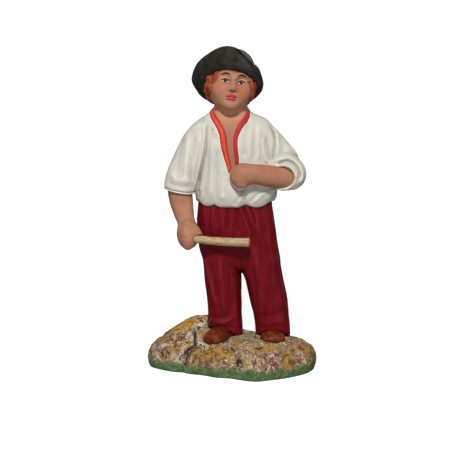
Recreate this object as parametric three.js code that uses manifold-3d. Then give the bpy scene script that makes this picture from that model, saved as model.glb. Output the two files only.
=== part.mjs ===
// A santon: a small fired clay figure of a man in blouse and trousers, head thrown back under a
// turned-up hat, one hand tucked in at the chest and a short stick in the other. It stands on a
// rock that is one piece with it.
//
// X runs to the right as seen from the front, Y away from the viewer and Z up, in millimetres. The
// figure's own places are shares of its height: they are given for a man 90 high, measured from
// the soles, and are scaled to figureHeight. Places on the base are given for one 52.5 wide and 34.5
// deep, and are scaled to baseWidth and baseDepth. Angles are in degrees anticlockwise seen from
// above, so the front is at 270.
import * as THREE from "three";
import { mergeVertices } from "three/addons/utils/BufferGeometryUtils.js";
import Module from "manifold-3d";

const wasm = await Module();
wasm.setup();

// Driving sizes, in millimetres
const figureHeight = 90; // from the soles to the top of the hat
const baseWidth = 52.5;
const baseDepth = 34.5;
const baseHeight = 10; // where the shoes stand
const rimHeight = 4.6; // the upright edge of the base
const rockHeight = 5.2; // how far the back rock rises above the shoes
const crackDepth = 1.3;
const soleSink = 0.5; // the shoes are pressed into the base by this
const stickDiameter = 2.6;
const stickLength = 20;
const stickHidden = 3; // how much of the stick the fist holds
const stickSag = 0.3; // how far its middle hangs below its ends
const gripClearance = 0.3; // between the stick and the hole in the fist, all round
const shortestEdge = 0.35; // finer slivers than this are left out of the skin

// The sizes that the places below are given for
const drawn = { height: 90, width: 52.5, depth: 34.5 };
const share = figureHeight / drawn.height;
const baseStretch = { x: baseWidth / drawn.width, y: baseDepth / drawn.depth };
const gripRadius = stickDiameter / 2 + gripClearance;
const TURN = 2 * Math.PI;

const vec = (x, y, z) => new THREE.Vector3(x, y, z);
const onBase = new THREE.Matrix4()
  .makeTranslation(0, 0, baseHeight - soleSink)
  .scale(vec(share, share, share));

// A solid from a closed geometry
function solid(geometry) {
  const bare = new THREE.BufferGeometry();
  bare.setAttribute("position", geometry.getAttribute("position"));
  bare.setIndex(geometry.index);
  const merged = mergeVertices(bare, 1e-4);
  return new wasm.Manifold(
    new wasm.Mesh({
      numProp: 3,
      vertProperties: new Float32Array(merged.attributes.position.array),
      triVerts: new Uint32Array(merged.index.array),
    }),
  );
}

const figureSolid = (geometry) => solid(geometry.applyMatrix4(onBase));
const join = (solids) => solids.reduce((whole, piece) => whole.add(piece));

// A closed skin over rings of points that run anticlockwise seen from the last ring's side
function skin(rings) {
  const count = rings[0].length;
  const points = rings.flat();
  const middle = (ring) =>
    ring.reduce((sum, p) => sum.add(p), vec(0, 0, 0)).divideScalar(count);
  const first = points.length;
  points.push(middle(rings[0]), middle(rings.at(-1)));
  const faces = [];
  for (let i = 0; i < count; i++) {
    const next = (i + 1) % count;
    const top = (rings.length - 1) * count;
    faces.push(first, next, i, first + 1, top + i, top + next);
    for (let row = 0; row < top; row += count) {
      const [a, b] = [row + i, row + next];
      faces.push(a, b, b + count, a, b + count, a + count);
    }
  }
  return new THREE.BufferGeometry().setFromPoints(points).setIndex(faces);
}

// The row of a table at a height, on a smooth curve through the rows. A row starts with its height.
function rowAt(rows, height) {
  const last = rows.length - 1;
  let i = 0;
  while (i < last - 1 && height > rows[i + 1][0]) i++;
  const [low, high] = [rows[i], rows[i + 1]];
  const [before, after] = [rows[Math.max(i - 1, 0)], rows[Math.min(i + 2, last)]];
  const span = high[0] - low[0];
  const t = (height - low[0]) / span;
  return low.map((value, k) => {
    const startSlope = ((high[k] - before[k]) / (high[0] - before[0])) * span;
    const endSlope = ((after[k] - value) / (after[0] - low[0])) * span;
    const rise = high[k] - value;
    const square = 3 * rise - 2 * startSlope - endSlope;
    const cube = startSlope + endSlope - 2 * rise;
    return value + t * (startSlope + t * (square + t * cube));
  });
}

// 1 at an angle given in degrees, fading away over a width in degrees
function bump(angle, at, width) {
  const away = ((((angle * 360) / TURN - at) % 360) + 540) % 360 - 180;
  return Math.exp(-((away / width) ** 2));
}

// Soft ridges, or hollows where deep is negative, that run up a cloth surface. Each row is
// [angle, width, deep, lowest height, highest height, lean in degrees per height]
const foldsOf = (rows) => (angle, height) =>
  rows.reduce((sum, [at, width, deep, low, high, lean = 0]) => {
    const fade = THREE.MathUtils.smoothstep(height, low, low + 0.25 * (high - low));
    const end = 1 - THREE.MathUtils.smoothstep(height, high - 0.35 * (high - low), high);
    return sum + deep * fade * end * bump(angle, at + lean * (height - low), width);
  }, 0);

// An upright body through rows of [height, middle x, middle y, half width, half depth]. A power
// over 2 squares the section. Heights near an end bend by edge(angle), as a hem does.
function loft(rows, { sides = 36, steps = 12, power = 2.2, folds = () => 0, edge = () => 0 } = {}) {
  const low = rows[0][0];
  const high = rows.at(-1)[0];
  const rings = [];
  for (let s = 0; s <= steps; s++) {
    const height = low + ((high - low) * s) / steps;
    const [, x, y, wide, deep] = rowAt(rows, height);
    const nearLow = Math.max(0, 1 - s / (steps * 0.35));
    rings.push(
      Array.from({ length: sides }, (_, i) => {
        const angle = (TURN * i) / sides;
        const [right, back] = [Math.cos(angle), Math.sin(angle)];
        const square = (Math.abs(right) ** power + Math.abs(back) ** power) ** (-1 / power);
        const out = folds(angle, height);
        return vec(
          x + right * (square * wide + out),
          y + back * (square * deep + out),
          height + nearLow * edge(angle),
        );
      }),
    );
  }
  return skin(rings);
}

// A round limb through rows of [x, y, z, radius], with domed ends. Its folds run along it, and
// their heights are shares of its length.
function limb(rows, { sides = 16, steps = 8, dome = 3, folds = () => 0 } = {}) {
  const centres = new THREE.CatmullRomCurve3(rows.map(([x, y, z]) => vec(x, y, z)));
  const radii = rows.map((row, i) => [i / (rows.length - 1), row[3]]);
  const ring = (at, along, radius, t) => {
    const side = vec(0, 0, 1).cross(along).normalize();
    if (side.lengthSq() < 0.5) side.set(1, 0, 0);
    const up = along.clone().cross(side);
    return Array.from({ length: sides }, (_, i) => {
      const angle = (TURN * i) / sides;
      const out = radius + folds(angle, t);
      return at
        .clone()
        .addScaledVector(side, out * Math.cos(angle))
        .addScaledVector(up, out * Math.sin(angle));
    });
  };
  const capped = (t, forward) =>
    Array.from({ length: dome }, (_, k) => {
      const angle = (TURN / 4) * ((k + 1) / (dome + 0.5));
      const radius = rowAt(radii, t)[1];
      const along = centres.getTangent(t);
      const at = centres.getPoint(t).addScaledVector(along, forward * radius * Math.sin(angle));
      return ring(at, along, radius * Math.cos(angle), t);
    });
  const rings = [];
  for (let s = 0; s <= steps; s++) {
    const t = s / steps;
    rings.push(ring(centres.getPoint(t), centres.getTangent(t), rowAt(radii, t)[1], t));
  }
  return skin([...capped(0, -1).reverse(), ...rings, ...capped(1, 1)]);
}

// An egg of three half sizes, turned by degrees about X, Y and Z
function egg([x, y, z], [a, b, c], { turn = [0, 0, 0], wide = 8, high = 5 } = {}) {
  const angles = turn.map(THREE.MathUtils.degToRad);
  return new THREE.SphereGeometry(1, wide, high)
    .rotateX(TURN / 4)
    .scale(a, b, c)
    .applyMatrix4(new THREE.Matrix4().makeRotationFromEuler(new THREE.Euler(...angles, "ZYX")))
    .translate(x, y, z);
}

// Base

const baseTurn = THREE.MathUtils.degToRad(-18); // its right end stands nearer the viewer
const baseMiddle = -0.1; // the man stands a little to the right on it
const rock = { x: -11, y: 5.5, wide: 10, deep: 6.5 };
const backSlope = 0.16; // the top falls away behind the heels
const rockLumps = [
  // x, y, half size, height over the base
  [-19, -5, 6, 1.2],
  [-6, -13, 5, 0.9],
  [9, -14, 6, 0.7],
  [18, -6, 5, 0.8],
  [21, -1, 5, 1.2],
  [-20, 0, 4, 1.0],
];
// The edge bulges and draws in: at an angle, over a width in degrees, by a share of the reach
const edgeLobes = [
  [30, 20, -0.02],
  [75, 18, 0.03],
  [150, 20, -0.03],
  [208, 15, 0.07],
  [250, 15, -0.12],
  [298, 20, 0.09],
  [340, 16, -0.05],
];
const crackNick = 0.035; // how deep the cracks cut into the edge, as a share of the reach
const cracks = [
  // from x, y to x, y, half width
  [-9.5, 1.5, -15.5, -12.5, 1.15],
  [0.2, -10.5, 3.4, -18.5, 1.2],
  [-20.5, 5, -23.5, -2, 1.0],
  [17.5, -9, 20.5, -14.5, 0.9],
];

// How far out the base reaches at an angle, before it is turned and scaled
function baseReach(angle) {
  const ellipse = 0.5 / Math.hypot(Math.cos(angle) / drawn.width, Math.sin(angle) / drawn.depth);
  return edgeLobes.reduce((reach, [at, width, part]) => reach * (1 + part * bump(angle, at, width)), ellipse);
}

function crackAt(x, y) {
  return cracks.reduce((deepest, [ax, ay, bx, by, half]) => {
    const [dx, dy] = [bx - ax, by - ay];
    const t = THREE.MathUtils.clamp(((x - ax) * dx + (y - ay) * dy) / (dx * dx + dy * dy), 0, 1);
    const away = Math.hypot(x - ax - t * dx, y - ay - t * dy);
    return Math.max(deepest, Math.exp(-((away / half) ** 2)));
  }, 0);
}

// Height of the base's top at a place, where out is 0 at the middle and 1 at the edge
function baseTop(x, y, out) {
  const dip = (baseHeight - rimHeight) * out ** 4.5;
  const hill = Math.exp(-(((x - rock.x) / rock.wide) ** 2) - ((y - rock.y) / rock.deep) ** 2);
  const lumps = rockLumps.reduce(
    (sum, [lx, ly, half, high]) => sum + high * Math.exp(-(((x - lx) / half) ** 2) - ((y - ly) / half) ** 2),
    0,
  );
  const fall = backSlope * Math.max(0, y - 4);
  return baseHeight - dip - fall + rockHeight * hill * (1 - out ** 6) + lumps - crackDepth * crackAt(x, y);
}

function base() {
  const sides = 40;
  const shares = [0.965, 0.89, 0.79, 0.67, 0.54, 0.4, 0.22];
  const ringOf = (out, heightOf) =>
    Array.from({ length: sides }, (_, i) => {
      const angle = (TURN * i) / sides;
      const reach = out * baseReach(angle);
      const x = baseMiddle + reach * Math.cos(angle + baseTurn);
      const y = reach * Math.sin(angle + baseTurn);
      const nick = 1 - (out > 0.9 ? crackNick * crackAt(x, y) : 0);
      return vec(x * nick * baseStretch.x, y * nick * baseStretch.y, heightOf(x, y));
    });
  const edge = [
    ringOf(0.98, () => 0),
    ringOf(0.995, () => 0.22 * rimHeight),
    ringOf(1, () => 0.62 * rimHeight),
  ];
  const top = shares.map((out) => ringOf(out, (x, y) => baseTop(x, y, out)));
  return solid(skin([...edge, ...top]));
}

// Trousers and shoes

const rightLegRows = [
  [0.5, -2.15, 0.4, 5.35, 5.6],
  [4, -2.3, 0.1, 5.35, 5.4],
  [7.5, -2.3, 0, 5.15, 5.2],
  [11, -2.45, 0, 5.25, 5.4],
  [14.5, -2.65, 0, 5.4, 5.8],
  [18.2, -2.9, 0.2, 5.65, 6.4],
  [22, -3.1, 0.3, 5.7, 7.0],
  [28, -3.1, 0.2, 6.4, 7.2],
];
const leftLegRows = [
  [0.2, 12.4, 0.6, 5.25, 5.6],
  [3.2, 12.15, 0.4, 5.3, 5.4],
  [7, 11.7, 0, 5.4, 5.4],
  [10.7, 11.05, -0.3, 5.75, 5.7],
  [14.4, 10.25, -0.4, 5.95, 6.1],
  [18.2, 9.35, -0.3, 6.2, 6.6],
  [22, 8.5, 0, 6.4, 7.2],
  [28, 7.0, 0.2, 6.4, 7.2],
];
const hipRows = [
  [20.2, 3.3, 0.4, 1.2, 1.6],
  [20.9, 3.2, 0.4, 4.6, 3.9],
  [22.0, 3.1, 0.3, 9.4, 6.0],
  [23.5, 2.9, 0.3, 11.4, 7.1],
  [25.4, 2.3, 0.3, 11.7, 7.6],
  [29.4, 1.5, 0.2, 11.9, 8.0],
  [34.4, 1.0, 0.1, 11.75, 8.0],
  [38.1, 0.8, 0, 11.5, 7.7],
  [43, 0.8, 0, 11.2, 7.3],
];
// Angles are degrees anticlockwise seen from above, and the front is at 270
const rightLegFolds = foldsOf([
  [270, 13, 0.35, 3, 26],
  [232, 12, 0.3, 5, 27, 0.6],
  [305, 11, -0.35, 4, 22],
  [252, 9, -0.3, 8, 26],
  [100, 16, 0.35, 2, 24],
  [60, 12, -0.3, 4, 22],
]);
const leftLegFolds = foldsOf([
  [262, 12, 0.4, 3, 26, -0.5],
  [300, 11, 0.3, 2, 24],
  [238, 10, -0.35, 5, 24, 0.6],
  [282, 9, -0.3, 8, 26],
  [85, 15, 0.35, 2, 24],
  [125, 12, -0.3, 4, 22],
]);
const hipFolds = foldsOf([
  [222, 8, 0.35, 22, 47],
  [236, 6, -0.35, 23, 47],
  [248, 7, 0.35, 24, 47],
  [259, 5, -0.35, 26, 47],
  [268, 6, 0.35, 26, 47],
  [285, 6, 0.45, 22, 47, -0.9],
  [297, 6, -0.4, 21, 47, -0.9],
  [312, 9, 0.35, 20, 47],
  [90, 6, -0.7, 18, 34],
  [62, 20, 0.7, 18, 34],
  [118, 20, 0.7, 18, 34],
]);

function trousers() {
  // A hem lies on the shoe: it rises towards the toe's angle, in degrees
  const hemOver = (lift, toe) => (angle) =>
    lift * (0.5 + 0.5 * Math.cos(angle - THREE.MathUtils.degToRad(toe))) ** 1.5;
  return join([
    figureSolid(loft(rightLegRows, { sides: 20, steps: 7, folds: rightLegFolds, edge: hemOver(3.1, 226) })),
    figureSolid(loft(leftLegRows, { sides: 20, steps: 7, folds: leftLegFolds, edge: hemOver(1.4, 275) })),
    figureSolid(loft(hipRows, { sides: 32, steps: 7, power: 2.3, folds: hipFolds })),
  ]);
}

const shoePlaces = {
  right: { heel: [0.2, 1.4], toe: [-7.2, -9.4] },
  left: { heel: [11.8, 2.6], toe: [12.2, -10.6] },
};

// A shoe from heel to toe: its sole lies flat and its upper is round
function shoe(heel, toe) {
  const along = vec(toe[0] - heel[0], toe[1] - heel[1], 0);
  const length = along.length();
  along.normalize();
  const across = vec(-along.y, along.x, 0);
  const profile = [
    // share of the length, half width, height
    [0, 1.2, 2.2],
    [0.06, 2.2, 3.2],
    [0.25, 2.8, 4.4],
    [0.5, 3.2, 4.7],
    [0.7, 3.65, 4.3],
    [0.85, 3.4, 3.6],
    [0.95, 2.5, 2.7],
    [1, 1.2, 1.7],
  ];
  const sides = 12;
  const rings = profile.map(([t, half, high]) =>
    Array.from({ length: sides }, (_, i) => {
      const angle = (TURN * i) / sides;
      const lift = Math.sin(angle);
      const z = lift > 0 ? 0.6 + (high - 0.6) * lift : 0.6 + 0.9 * lift;
      return vec(heel[0], heel[1], z)
        .addScaledVector(along, t * length)
        .addScaledVector(across, half * Math.cos(angle));
    }),
  );
  return figureSolid(skin(rings));
}

// Blouse

const blouseRows = [
  [41.3, 0.6, 0, 10.6, 7.4],
  [42.2, 0.75, 0, 11.6, 8.3],
  [44.5, 0.95, -0.1, 12.2, 8.9],
  [48, 0.85, -0.2, 12.1, 8.9],
  [52, 0.5, -0.1, 11.9, 8.6],
  [56, 0.2, 0, 11.9, 8.3],
  [60, 0, 0.2, 12.0, 8.0],
  [63, -0.1, 0.4, 11.8, 7.5],
  [65.5, -0.3, 0.6, 10.8, 6.9],
  [67.5, -0.5, 0.8, 8.9, 6.3],
  [69.2, -0.6, 1.0, 6.8, 5.7],
  [70.2, -0.65, 1.2, 5.9, 5.3],
];
const blouseFolds = foldsOf([
  [236, 7, 0.4, 43, 68],
  [247, 6, -0.4, 41, 64],
  [256, 6, 0.35, 41, 60],
  [292, 8, 0.4, 52, 68],
  [303, 6, -0.4, 53, 67],
  [312, 7, 0.4, 52, 68],
  [228, 6, -0.5, 40, 70],
  [268, 7, 0.35, 40, 48],
  [282, 5, -0.5, 40, 48, 1.2],
  [297, 6, 0.4, 40, 49, 1.2],
  [312, 5, -0.5, 40, 49, 1.4],
  [330, 8, 0.4, 40, 50],
  [60, 10, 0.5, 41, 66],
  [78, 8, -0.5, 41, 62],
  [100, 9, 0.5, 41, 64],
  [122, 8, -0.5, 41, 66],
  [90, 14, -0.5, 58, 70],
]);
const blouseHem = (angle) => 0.5 * Math.cos(9 * angle - 1.2);
const rightSleeveRows = [
  [45.2, -15.85, -1.6, 4.6, 4.7],
  [46.6, -15.8, -1.45, 4.9, 5.05],
  [48.6, -15.5, -1.25, 5.0, 5.3],
  [52, -14.4, -1.0, 5.15, 5.4],
  [56, -12.7, -0.6, 5.1, 5.5],
  [60, -10.9, -0.1, 5.1, 5.5],
  [63, -9.3, 0.3, 4.9, 5.3],
  [65.5, -7.7, 0.6, 4.3, 4.9],
  [67.2, -6.4, 0.8, 3.3, 4.1],
];
const rightSleeveFolds = foldsOf([
  [262, 14, 0.4, 45, 66],
  [288, 10, -0.4, 45, 64],
  [232, 12, -0.3, 46, 60],
  [205, 14, 0.3, 45, 58],
  [80, 14, 0.4, 45, 62],
  [118, 11, -0.35, 45, 60],
]);
const sleeveEnd = (angle) => 0.75 - 0.62 * Math.cos(angle); // it hangs lower towards the body
const leftSleeveRows = [
  [7.2, 0.6, 63.4, 4.9],
  [10.5, 0.2, 59.2, 5.4],
  [13.8, -0.5, 55.0, 5.6],
  [16.7, -1.4, 51.5, 5.1],
];
// Round the sleeve the back is at 0, the top at 90 and the front at 180
const leftSleeveFolds = foldsOf([
  [135, 12, 0.4, 0.05, 0.95],
  [155, 9, -0.35, 0.1, 0.9],
  [176, 11, 0.45, 0, 0.9],
  [198, 9, -0.4, 0, 0.9],
  [222, 12, 0.4, 0, 0.9],
  [20, 16, 0.35, 0, 0.9],
]);
const leftCuffRows = [
  [17.5, -2.4, 50.8, 4.7],
  [15.3, -4.6, 50.8, 4.4],
];

// The slit at the chest, as seen from the front: x and z of each edge, from the collar down
const slitRightEdge = [
  [-6.2, 70.5],
  [-5.3, 67.5],
  [-3.4, 63.5],
  [-2.5, 60.5],
  [-2.3, 57.5],
  [-1.6, 54.6],
  [-1.0, 53.4],
];
const slitLeftEdge = [
  [4.9, 70.5],
  [4.4, 68],
  [2.7, 65.6],
  [1.4, 63.2],
  [1.0, 60],
  [1.1, 56.5],
  [1.2, 54.2],
];
const slitDepth = 0.9;
const trimRadius = 0.75;

// How far forward the blouse reaches at a place seen from the front
function blouseFront(x, z) {
  const [, mx, my, wide, deep] = rowAt(blouseRows, Math.min(z, blouseRows.at(-1)[0]));
  const side = Math.min(0.98, Math.abs((x - mx) / wide));
  return my - deep * (1 - side ** 2.2) ** (1 / 2.2);
}

function chestSlit() {
  const outline = new THREE.Shape([
    ...slitRightEdge.map(([x, z]) => new THREE.Vector2(x, z)),
    ...slitLeftEdge.toReversed().map(([x, z]) => new THREE.Vector2(x, z)),
  ]);
  const reach = 14;
  return figureSolid(
    new THREE.ExtrudeGeometry(outline, { depth: reach, bevelEnabled: false }).rotateX(TURN / 4),
  );
}

function trim(edge) {
  const rows = edge.map(([x, z]) => [x, blouseFront(x, z) + 0.1, z, trimRadius]);
  return figureSolid(limb(rows, { sides: 6, steps: 8, dome: 1 }));
}

function chest() {
  const rows = blouseRows.slice(3);
  const inner = rows.map(([z, x, y, wide, deep]) => [z, x, y, wide - slitDepth, deep - slitDepth]);
  return figureSolid(loft(inner, { sides: 16, steps: 4 }));
}

function blouse() {
  const body = join([
    figureSolid(loft(blouseRows, { sides: 40, steps: 10, folds: blouseFolds, edge: blouseHem })),
    figureSolid(loft(rightSleeveRows, { sides: 20, steps: 7, folds: rightSleeveFolds, edge: sleeveEnd })),
    figureSolid(limb(leftSleeveRows, { sides: 20, steps: 5, dome: 2, folds: leftSleeveFolds })),
    figureSolid(limb(leftCuffRows, { sides: 16, steps: 2, dome: 2 })),
  ]);
  return body.subtract(chestSlit());
}

// Arms and hands

const rightForearmRows = [
  [-16.0, -1.8, 48.0, 3.6],
  [-15.4, -2.2, 43.0, 3.5],
  [-14.6, -3.6, 39.2, 3.0],
  [-14.0, -4.7, 36.8, 2.7],
];
const leftForearmRows = [
  [17.2, -3.0, 50.1, 3.6],
  [12.0, -6.2, 51.1, 3.35],
  [7.0, -9.2, 52.5, 3.1],
  [4.0, -10.2, 52.9, 3.0],
];
const fist = { x: -13.2, y: -6.6, z: 32.3 };
const tuckedFist = { x: 2.6, y: -10.6, z: 52.6 };

// The stick's line: it leaves the fist to the viewer's right and a little forward
const stickGrip = vec(fist.x + 1.6, fist.y - 1.7, fist.z + 0.1);
const stickLine = vec(17.2, -4.2, -0.1).normalize();

function rightHand() {
  const wrap = stickGrip.y - gripRadius / share + 0.1; // the fingers close in front of the stick
  const fingers = [0, 1, 2, 3].map((i) =>
    limb(
      [
        [fist.x - 2.2, fist.y - 1.4, fist.z + 2.0 - 1.35 * i, 1.0],
        [fist.x - 1.0, wrap + 0.2, fist.z + 1.8 - 1.3 * i, 1.0],
        [fist.x + 0.5, wrap, fist.z + 1.7 - 1.3 * i, 0.95],
      ],
      { sides: 6, steps: 2, dome: 1 },
    ),
  );
  const thumb = limb(
    [
      [fist.x + 0.6, fist.y - 0.6, fist.z + 4.4, 1.5],
      [fist.x + 2.2, fist.y - 1.2, fist.z + 2.4, 1.25],
      [fist.x + 3.0, fist.y - 1.6, fist.z + 0.8, 1.0],
    ],
    { sides: 6, steps: 2, dome: 1 },
  );
  return join([
    figureSolid(limb(rightForearmRows, { sides: 14, steps: 4, dome: 2 })),
    figureSolid(egg([fist.x, fist.y, fist.z], [3.3, 3.3, 3.7], { wide: 12, high: 8 })),
    ...fingers.map(figureSolid),
    figureSolid(thumb),
  ]);
}

function leftHand() {
  const { x, y, z } = tuckedFist;
  const knuckles = [0, 1, 2, 3].map((i) =>
    limb(
      [
        [x + 0.8, y - 1.0, z + 1.9 - 1.45 * i, 1.1],
        [x - 1.2, y - 1.1, z + 1.6 - 1.35 * i, 1.05],
        [x - 2.4, y + 0.5, z + 1.4 - 1.25 * i, 0.9],
      ],
      { sides: 6, steps: 2, dome: 1 },
    ),
  );
  return join([
    figureSolid(limb(leftForearmRows, { sides: 14, steps: 4, dome: 2 })),
    figureSolid(egg([x, y, z], [3.3, 2.5, 3.2], { turn: [0, 0, -12], wide: 12, high: 8 })),
    ...knuckles.map(figureSolid),
  ]);
}

// Head: everything here is placed about the middle of the head, with the face towards -Y, and is
// then thrown back, turned and leaned
const headMiddle = vec(-0.6, -0.5, 78.0);
const [throwBack, lean, turn] = [20, 8, 5]; // in degrees
const headPose = new THREE.Matrix4()
  .makeTranslation(headMiddle)
  .multiply(
    new THREE.Matrix4().makeRotationFromEuler(
      new THREE.Euler(...[-throwBack, lean, turn].map(THREE.MathUtils.degToRad), "YXZ"),
    ),
  );
const headSolid = (geometry) => figureSolid(geometry.applyMatrix4(headPose));

function head() {
  const round = { wide: 16, high: 10 };
  const skull = egg([0, 0, 0.6], [6.3, 6.6, 7.1], round);
  const jaw = egg([0, -1.3, -2.4], [5.8, 5.4, 5.6], round);
  const chin = egg([0, -4.3, -6.0], [2.5, 2.1, 1.9]);
  const nose = limb(
    [
      [0, -6.2, 1.2, 0.7],
      [0, -7.1, -0.6, 0.85],
      [0, -7.3, -1.7, 1.05],
    ],
    { sides: 8, steps: 3, dome: 1 },
  );
  const lips = [egg([0, -6.3, -3.75], [1.35, 0.75, 0.42]), egg([0, -6.1, -4.45], [1.15, 0.75, 0.45])];
  const pairs = [-1, 1].flatMap((side) => [
    egg([side * 3.0, -4.1, -2.4], [2.4, 2.1, 2.3]), // cheek
    egg([side * 2.5, -5.2, 1.7], [1.8, 1.2, 0.8]), // eyelids
    egg([side * 0.95, -6.8, -1.9], [0.65, 0.8, 0.6]), // nostril
  ]);
  const neck = limb(
    [
      [-0.5, 1.6, 65, 5.4],
      [-0.5, 1.2, 69, 5.0],
      [-0.6, 0.6, 74, 4.9],
    ],
    { sides: 14, steps: 2, dome: 1 },
  );
  return join([...[skull, jaw, chin, nose, ...lips, ...pairs].map(headSolid), figureSolid(neck)]);
}

// Curls of hair in two rows down each side of the face and round the nape
function hair() {
  const locks = [];
  const lock = (centre, halfSizes, twist = 0) =>
    locks.push(egg(centre, halfSizes, { turn: [0, 0, twist], wide: 6, high: 5 }));
  const count = 5;
  for (const side of [-1, 1])
    for (let i = 0; i < count; i++) {
      const t = i / (count - 1);
      const high = 4.3 - 6.2 * t;
      const out = 5.5 + 0.7 * Math.sin(Math.PI * (0.25 + 0.6 * t));
      const size = 1.25 + 0.15 * Math.cos(2.4 * i);
      lock([side * out, -2.9 + 1.3 * t, high], [size, 1.3, 1.05], 20 * i);
      if (i > 0) lock([side * (out + 0.6), -0.7 + 1.1 * t, high - 0.5], [size, 1.4, 1.1], 35 * i);
    }
  const nape = 5;
  for (let i = 0; i < nape; i++) {
    const angle = THREE.MathUtils.degToRad(25 + (130 * i) / (nape - 1));
    lock([5.6 * Math.cos(angle), 5.2 * Math.sin(angle), -4.6], [1.5, 1.3, 1.4]);
  }
  return join(locks.map(headSolid));
}

// Hat: a lathed shell about its own axis, stretched front to back, worn on the back of the head
const hat = {
  middle: vec(-1.2, 3.0, 80.0),
  tilt: 57,
  lean: 17,
  halfWidth: 10.9,
  halfLength: 12.4,
  brimThickness: 1.5,
  crownRadius: 7.4,
  crownRise: 7.6,
  crownShift: 1.25,
  brimDroop: 0.16, // the brim is wider low down at the sides than high up
  brimFold: { at: -55, width: 27, depth: 0.15 }, // here it is pressed in, in front of the crown
};
const hatPose = new THREE.Matrix4()
  .makeTranslation(hat.middle)
  .multiply(
    new THREE.Matrix4().makeRotationFromEuler(
      new THREE.Euler(...[-hat.tilt, hat.lean, 0].map(THREE.MathUtils.degToRad), "YXZ"),
    ),
  );

function hatSolid() {
  // Radius as a share of the half width, and height along the hat's axis from the brim's edge
  const thick = hat.brimThickness;
  const brim = [
    [0, -4.4],
    [0.6, -4.4],
    [0.72, -3.9],
    [0.87, -2.3],
    [0.97, -0.4],
    [1.0, 0.2],
    [0.985, 0.7],
    [0.93, 0.55],
    [0.82, -2.3 + thick],
    [0.7, -3.2 + thick],
    [0, -3.2 + thick],
  ].map(([r, z]) => new THREE.Vector2(r, z));
  const crown = [
    [0, -4.2],
    [0.93, -4.2],
    [0.99, -2],
    [0.97, 1.5],
    [0.9, 0.6 * hat.crownRise],
    [0.72, 0.86 * hat.crownRise],
    [0.4, hat.crownRise],
    [0, 0.97 * hat.crownRise],
  ].map(([r, z]) => new THREE.Vector2(r, z));
  const stretch = hat.halfLength / hat.halfWidth;
  const place = (geometry) => figureSolid(geometry.applyMatrix4(hatPose));
  const droop = (geometry) => {
    const points = geometry.getAttribute("position");
    for (let i = 0; i < points.count; i++) {
      const [x, y] = [points.getX(i), points.getY(i)];
      const out = Math.hypot(x, y) || 1;
      const { at, width, depth } = hat.brimFold;
      const fold = depth * bump(Math.atan2(y, x), at, width) * THREE.MathUtils.smoothstep(out, 0.6, 0.9);
      const reach = 1 + hat.brimDroop * (y / out) * (x / out) ** 2 - fold;
      points.setXY(i, x * reach, y * reach);
    }
    return geometry;
  };
  return join([
    place(droop(new THREE.LatheGeometry(brim, 30).rotateX(TURN / 4)).scale(hat.halfWidth, hat.halfLength, 1)),
    place(
      new THREE.LatheGeometry(crown, 20)
        .rotateX(TURN / 4)
        .scale(hat.crownRadius, hat.crownRadius * stretch, 1)
        .translate(hat.crownShift, 0, 0),
    ),
  ]);
}

// Stick, and the hole that it leaves in the fist

// A round bar along the stick, between two distances from the fist's mouth. Its middle sags.
function alongStick(radius, from, to) {
  const turn = new THREE.Quaternion().setFromUnitVectors(vec(0, 1, 0), stickLine);
  const bar = new THREE.CylinderGeometry(radius, radius, to - from, 20, 6)
    .translate(0, (from + to) / 2, 0)
    .applyQuaternion(turn);
  const points = bar.getAttribute("position");
  const shown = stickLength - stickHidden;
  for (let i = 0; i < points.count; i++) {
    const t = new THREE.Vector3().fromBufferAttribute(points, i).dot(stickLine) / shown;
    points.setZ(i, points.getZ(i) - 4 * stickSag * t * (1 - t));
  }
  const mouth = stickGrip.clone().applyMatrix4(onBase);
  return bar.translate(mouth.x, mouth.y, mouth.z);
}

const stick = () => alongStick(stickDiameter / 2, -stickHidden, stickLength - stickHidden);
const gripHole = () => solid(alongStick(gripRadius, -stickHidden - gripClearance, stickLength));

function santon() {
  return join([
    base(),
    shoe(shoePlaces.right.heel, shoePlaces.right.toe),
    shoe(shoePlaces.left.heel, shoePlaces.left.toe),
    trousers(),
    blouse(),
    trim(slitRightEdge),
    trim(slitLeftEdge),
    chest(),
    head(),
    hair(),
    hatSolid(),
    leftHand(),
    rightHand(),
  ]).subtract(gripHole());
}

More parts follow.
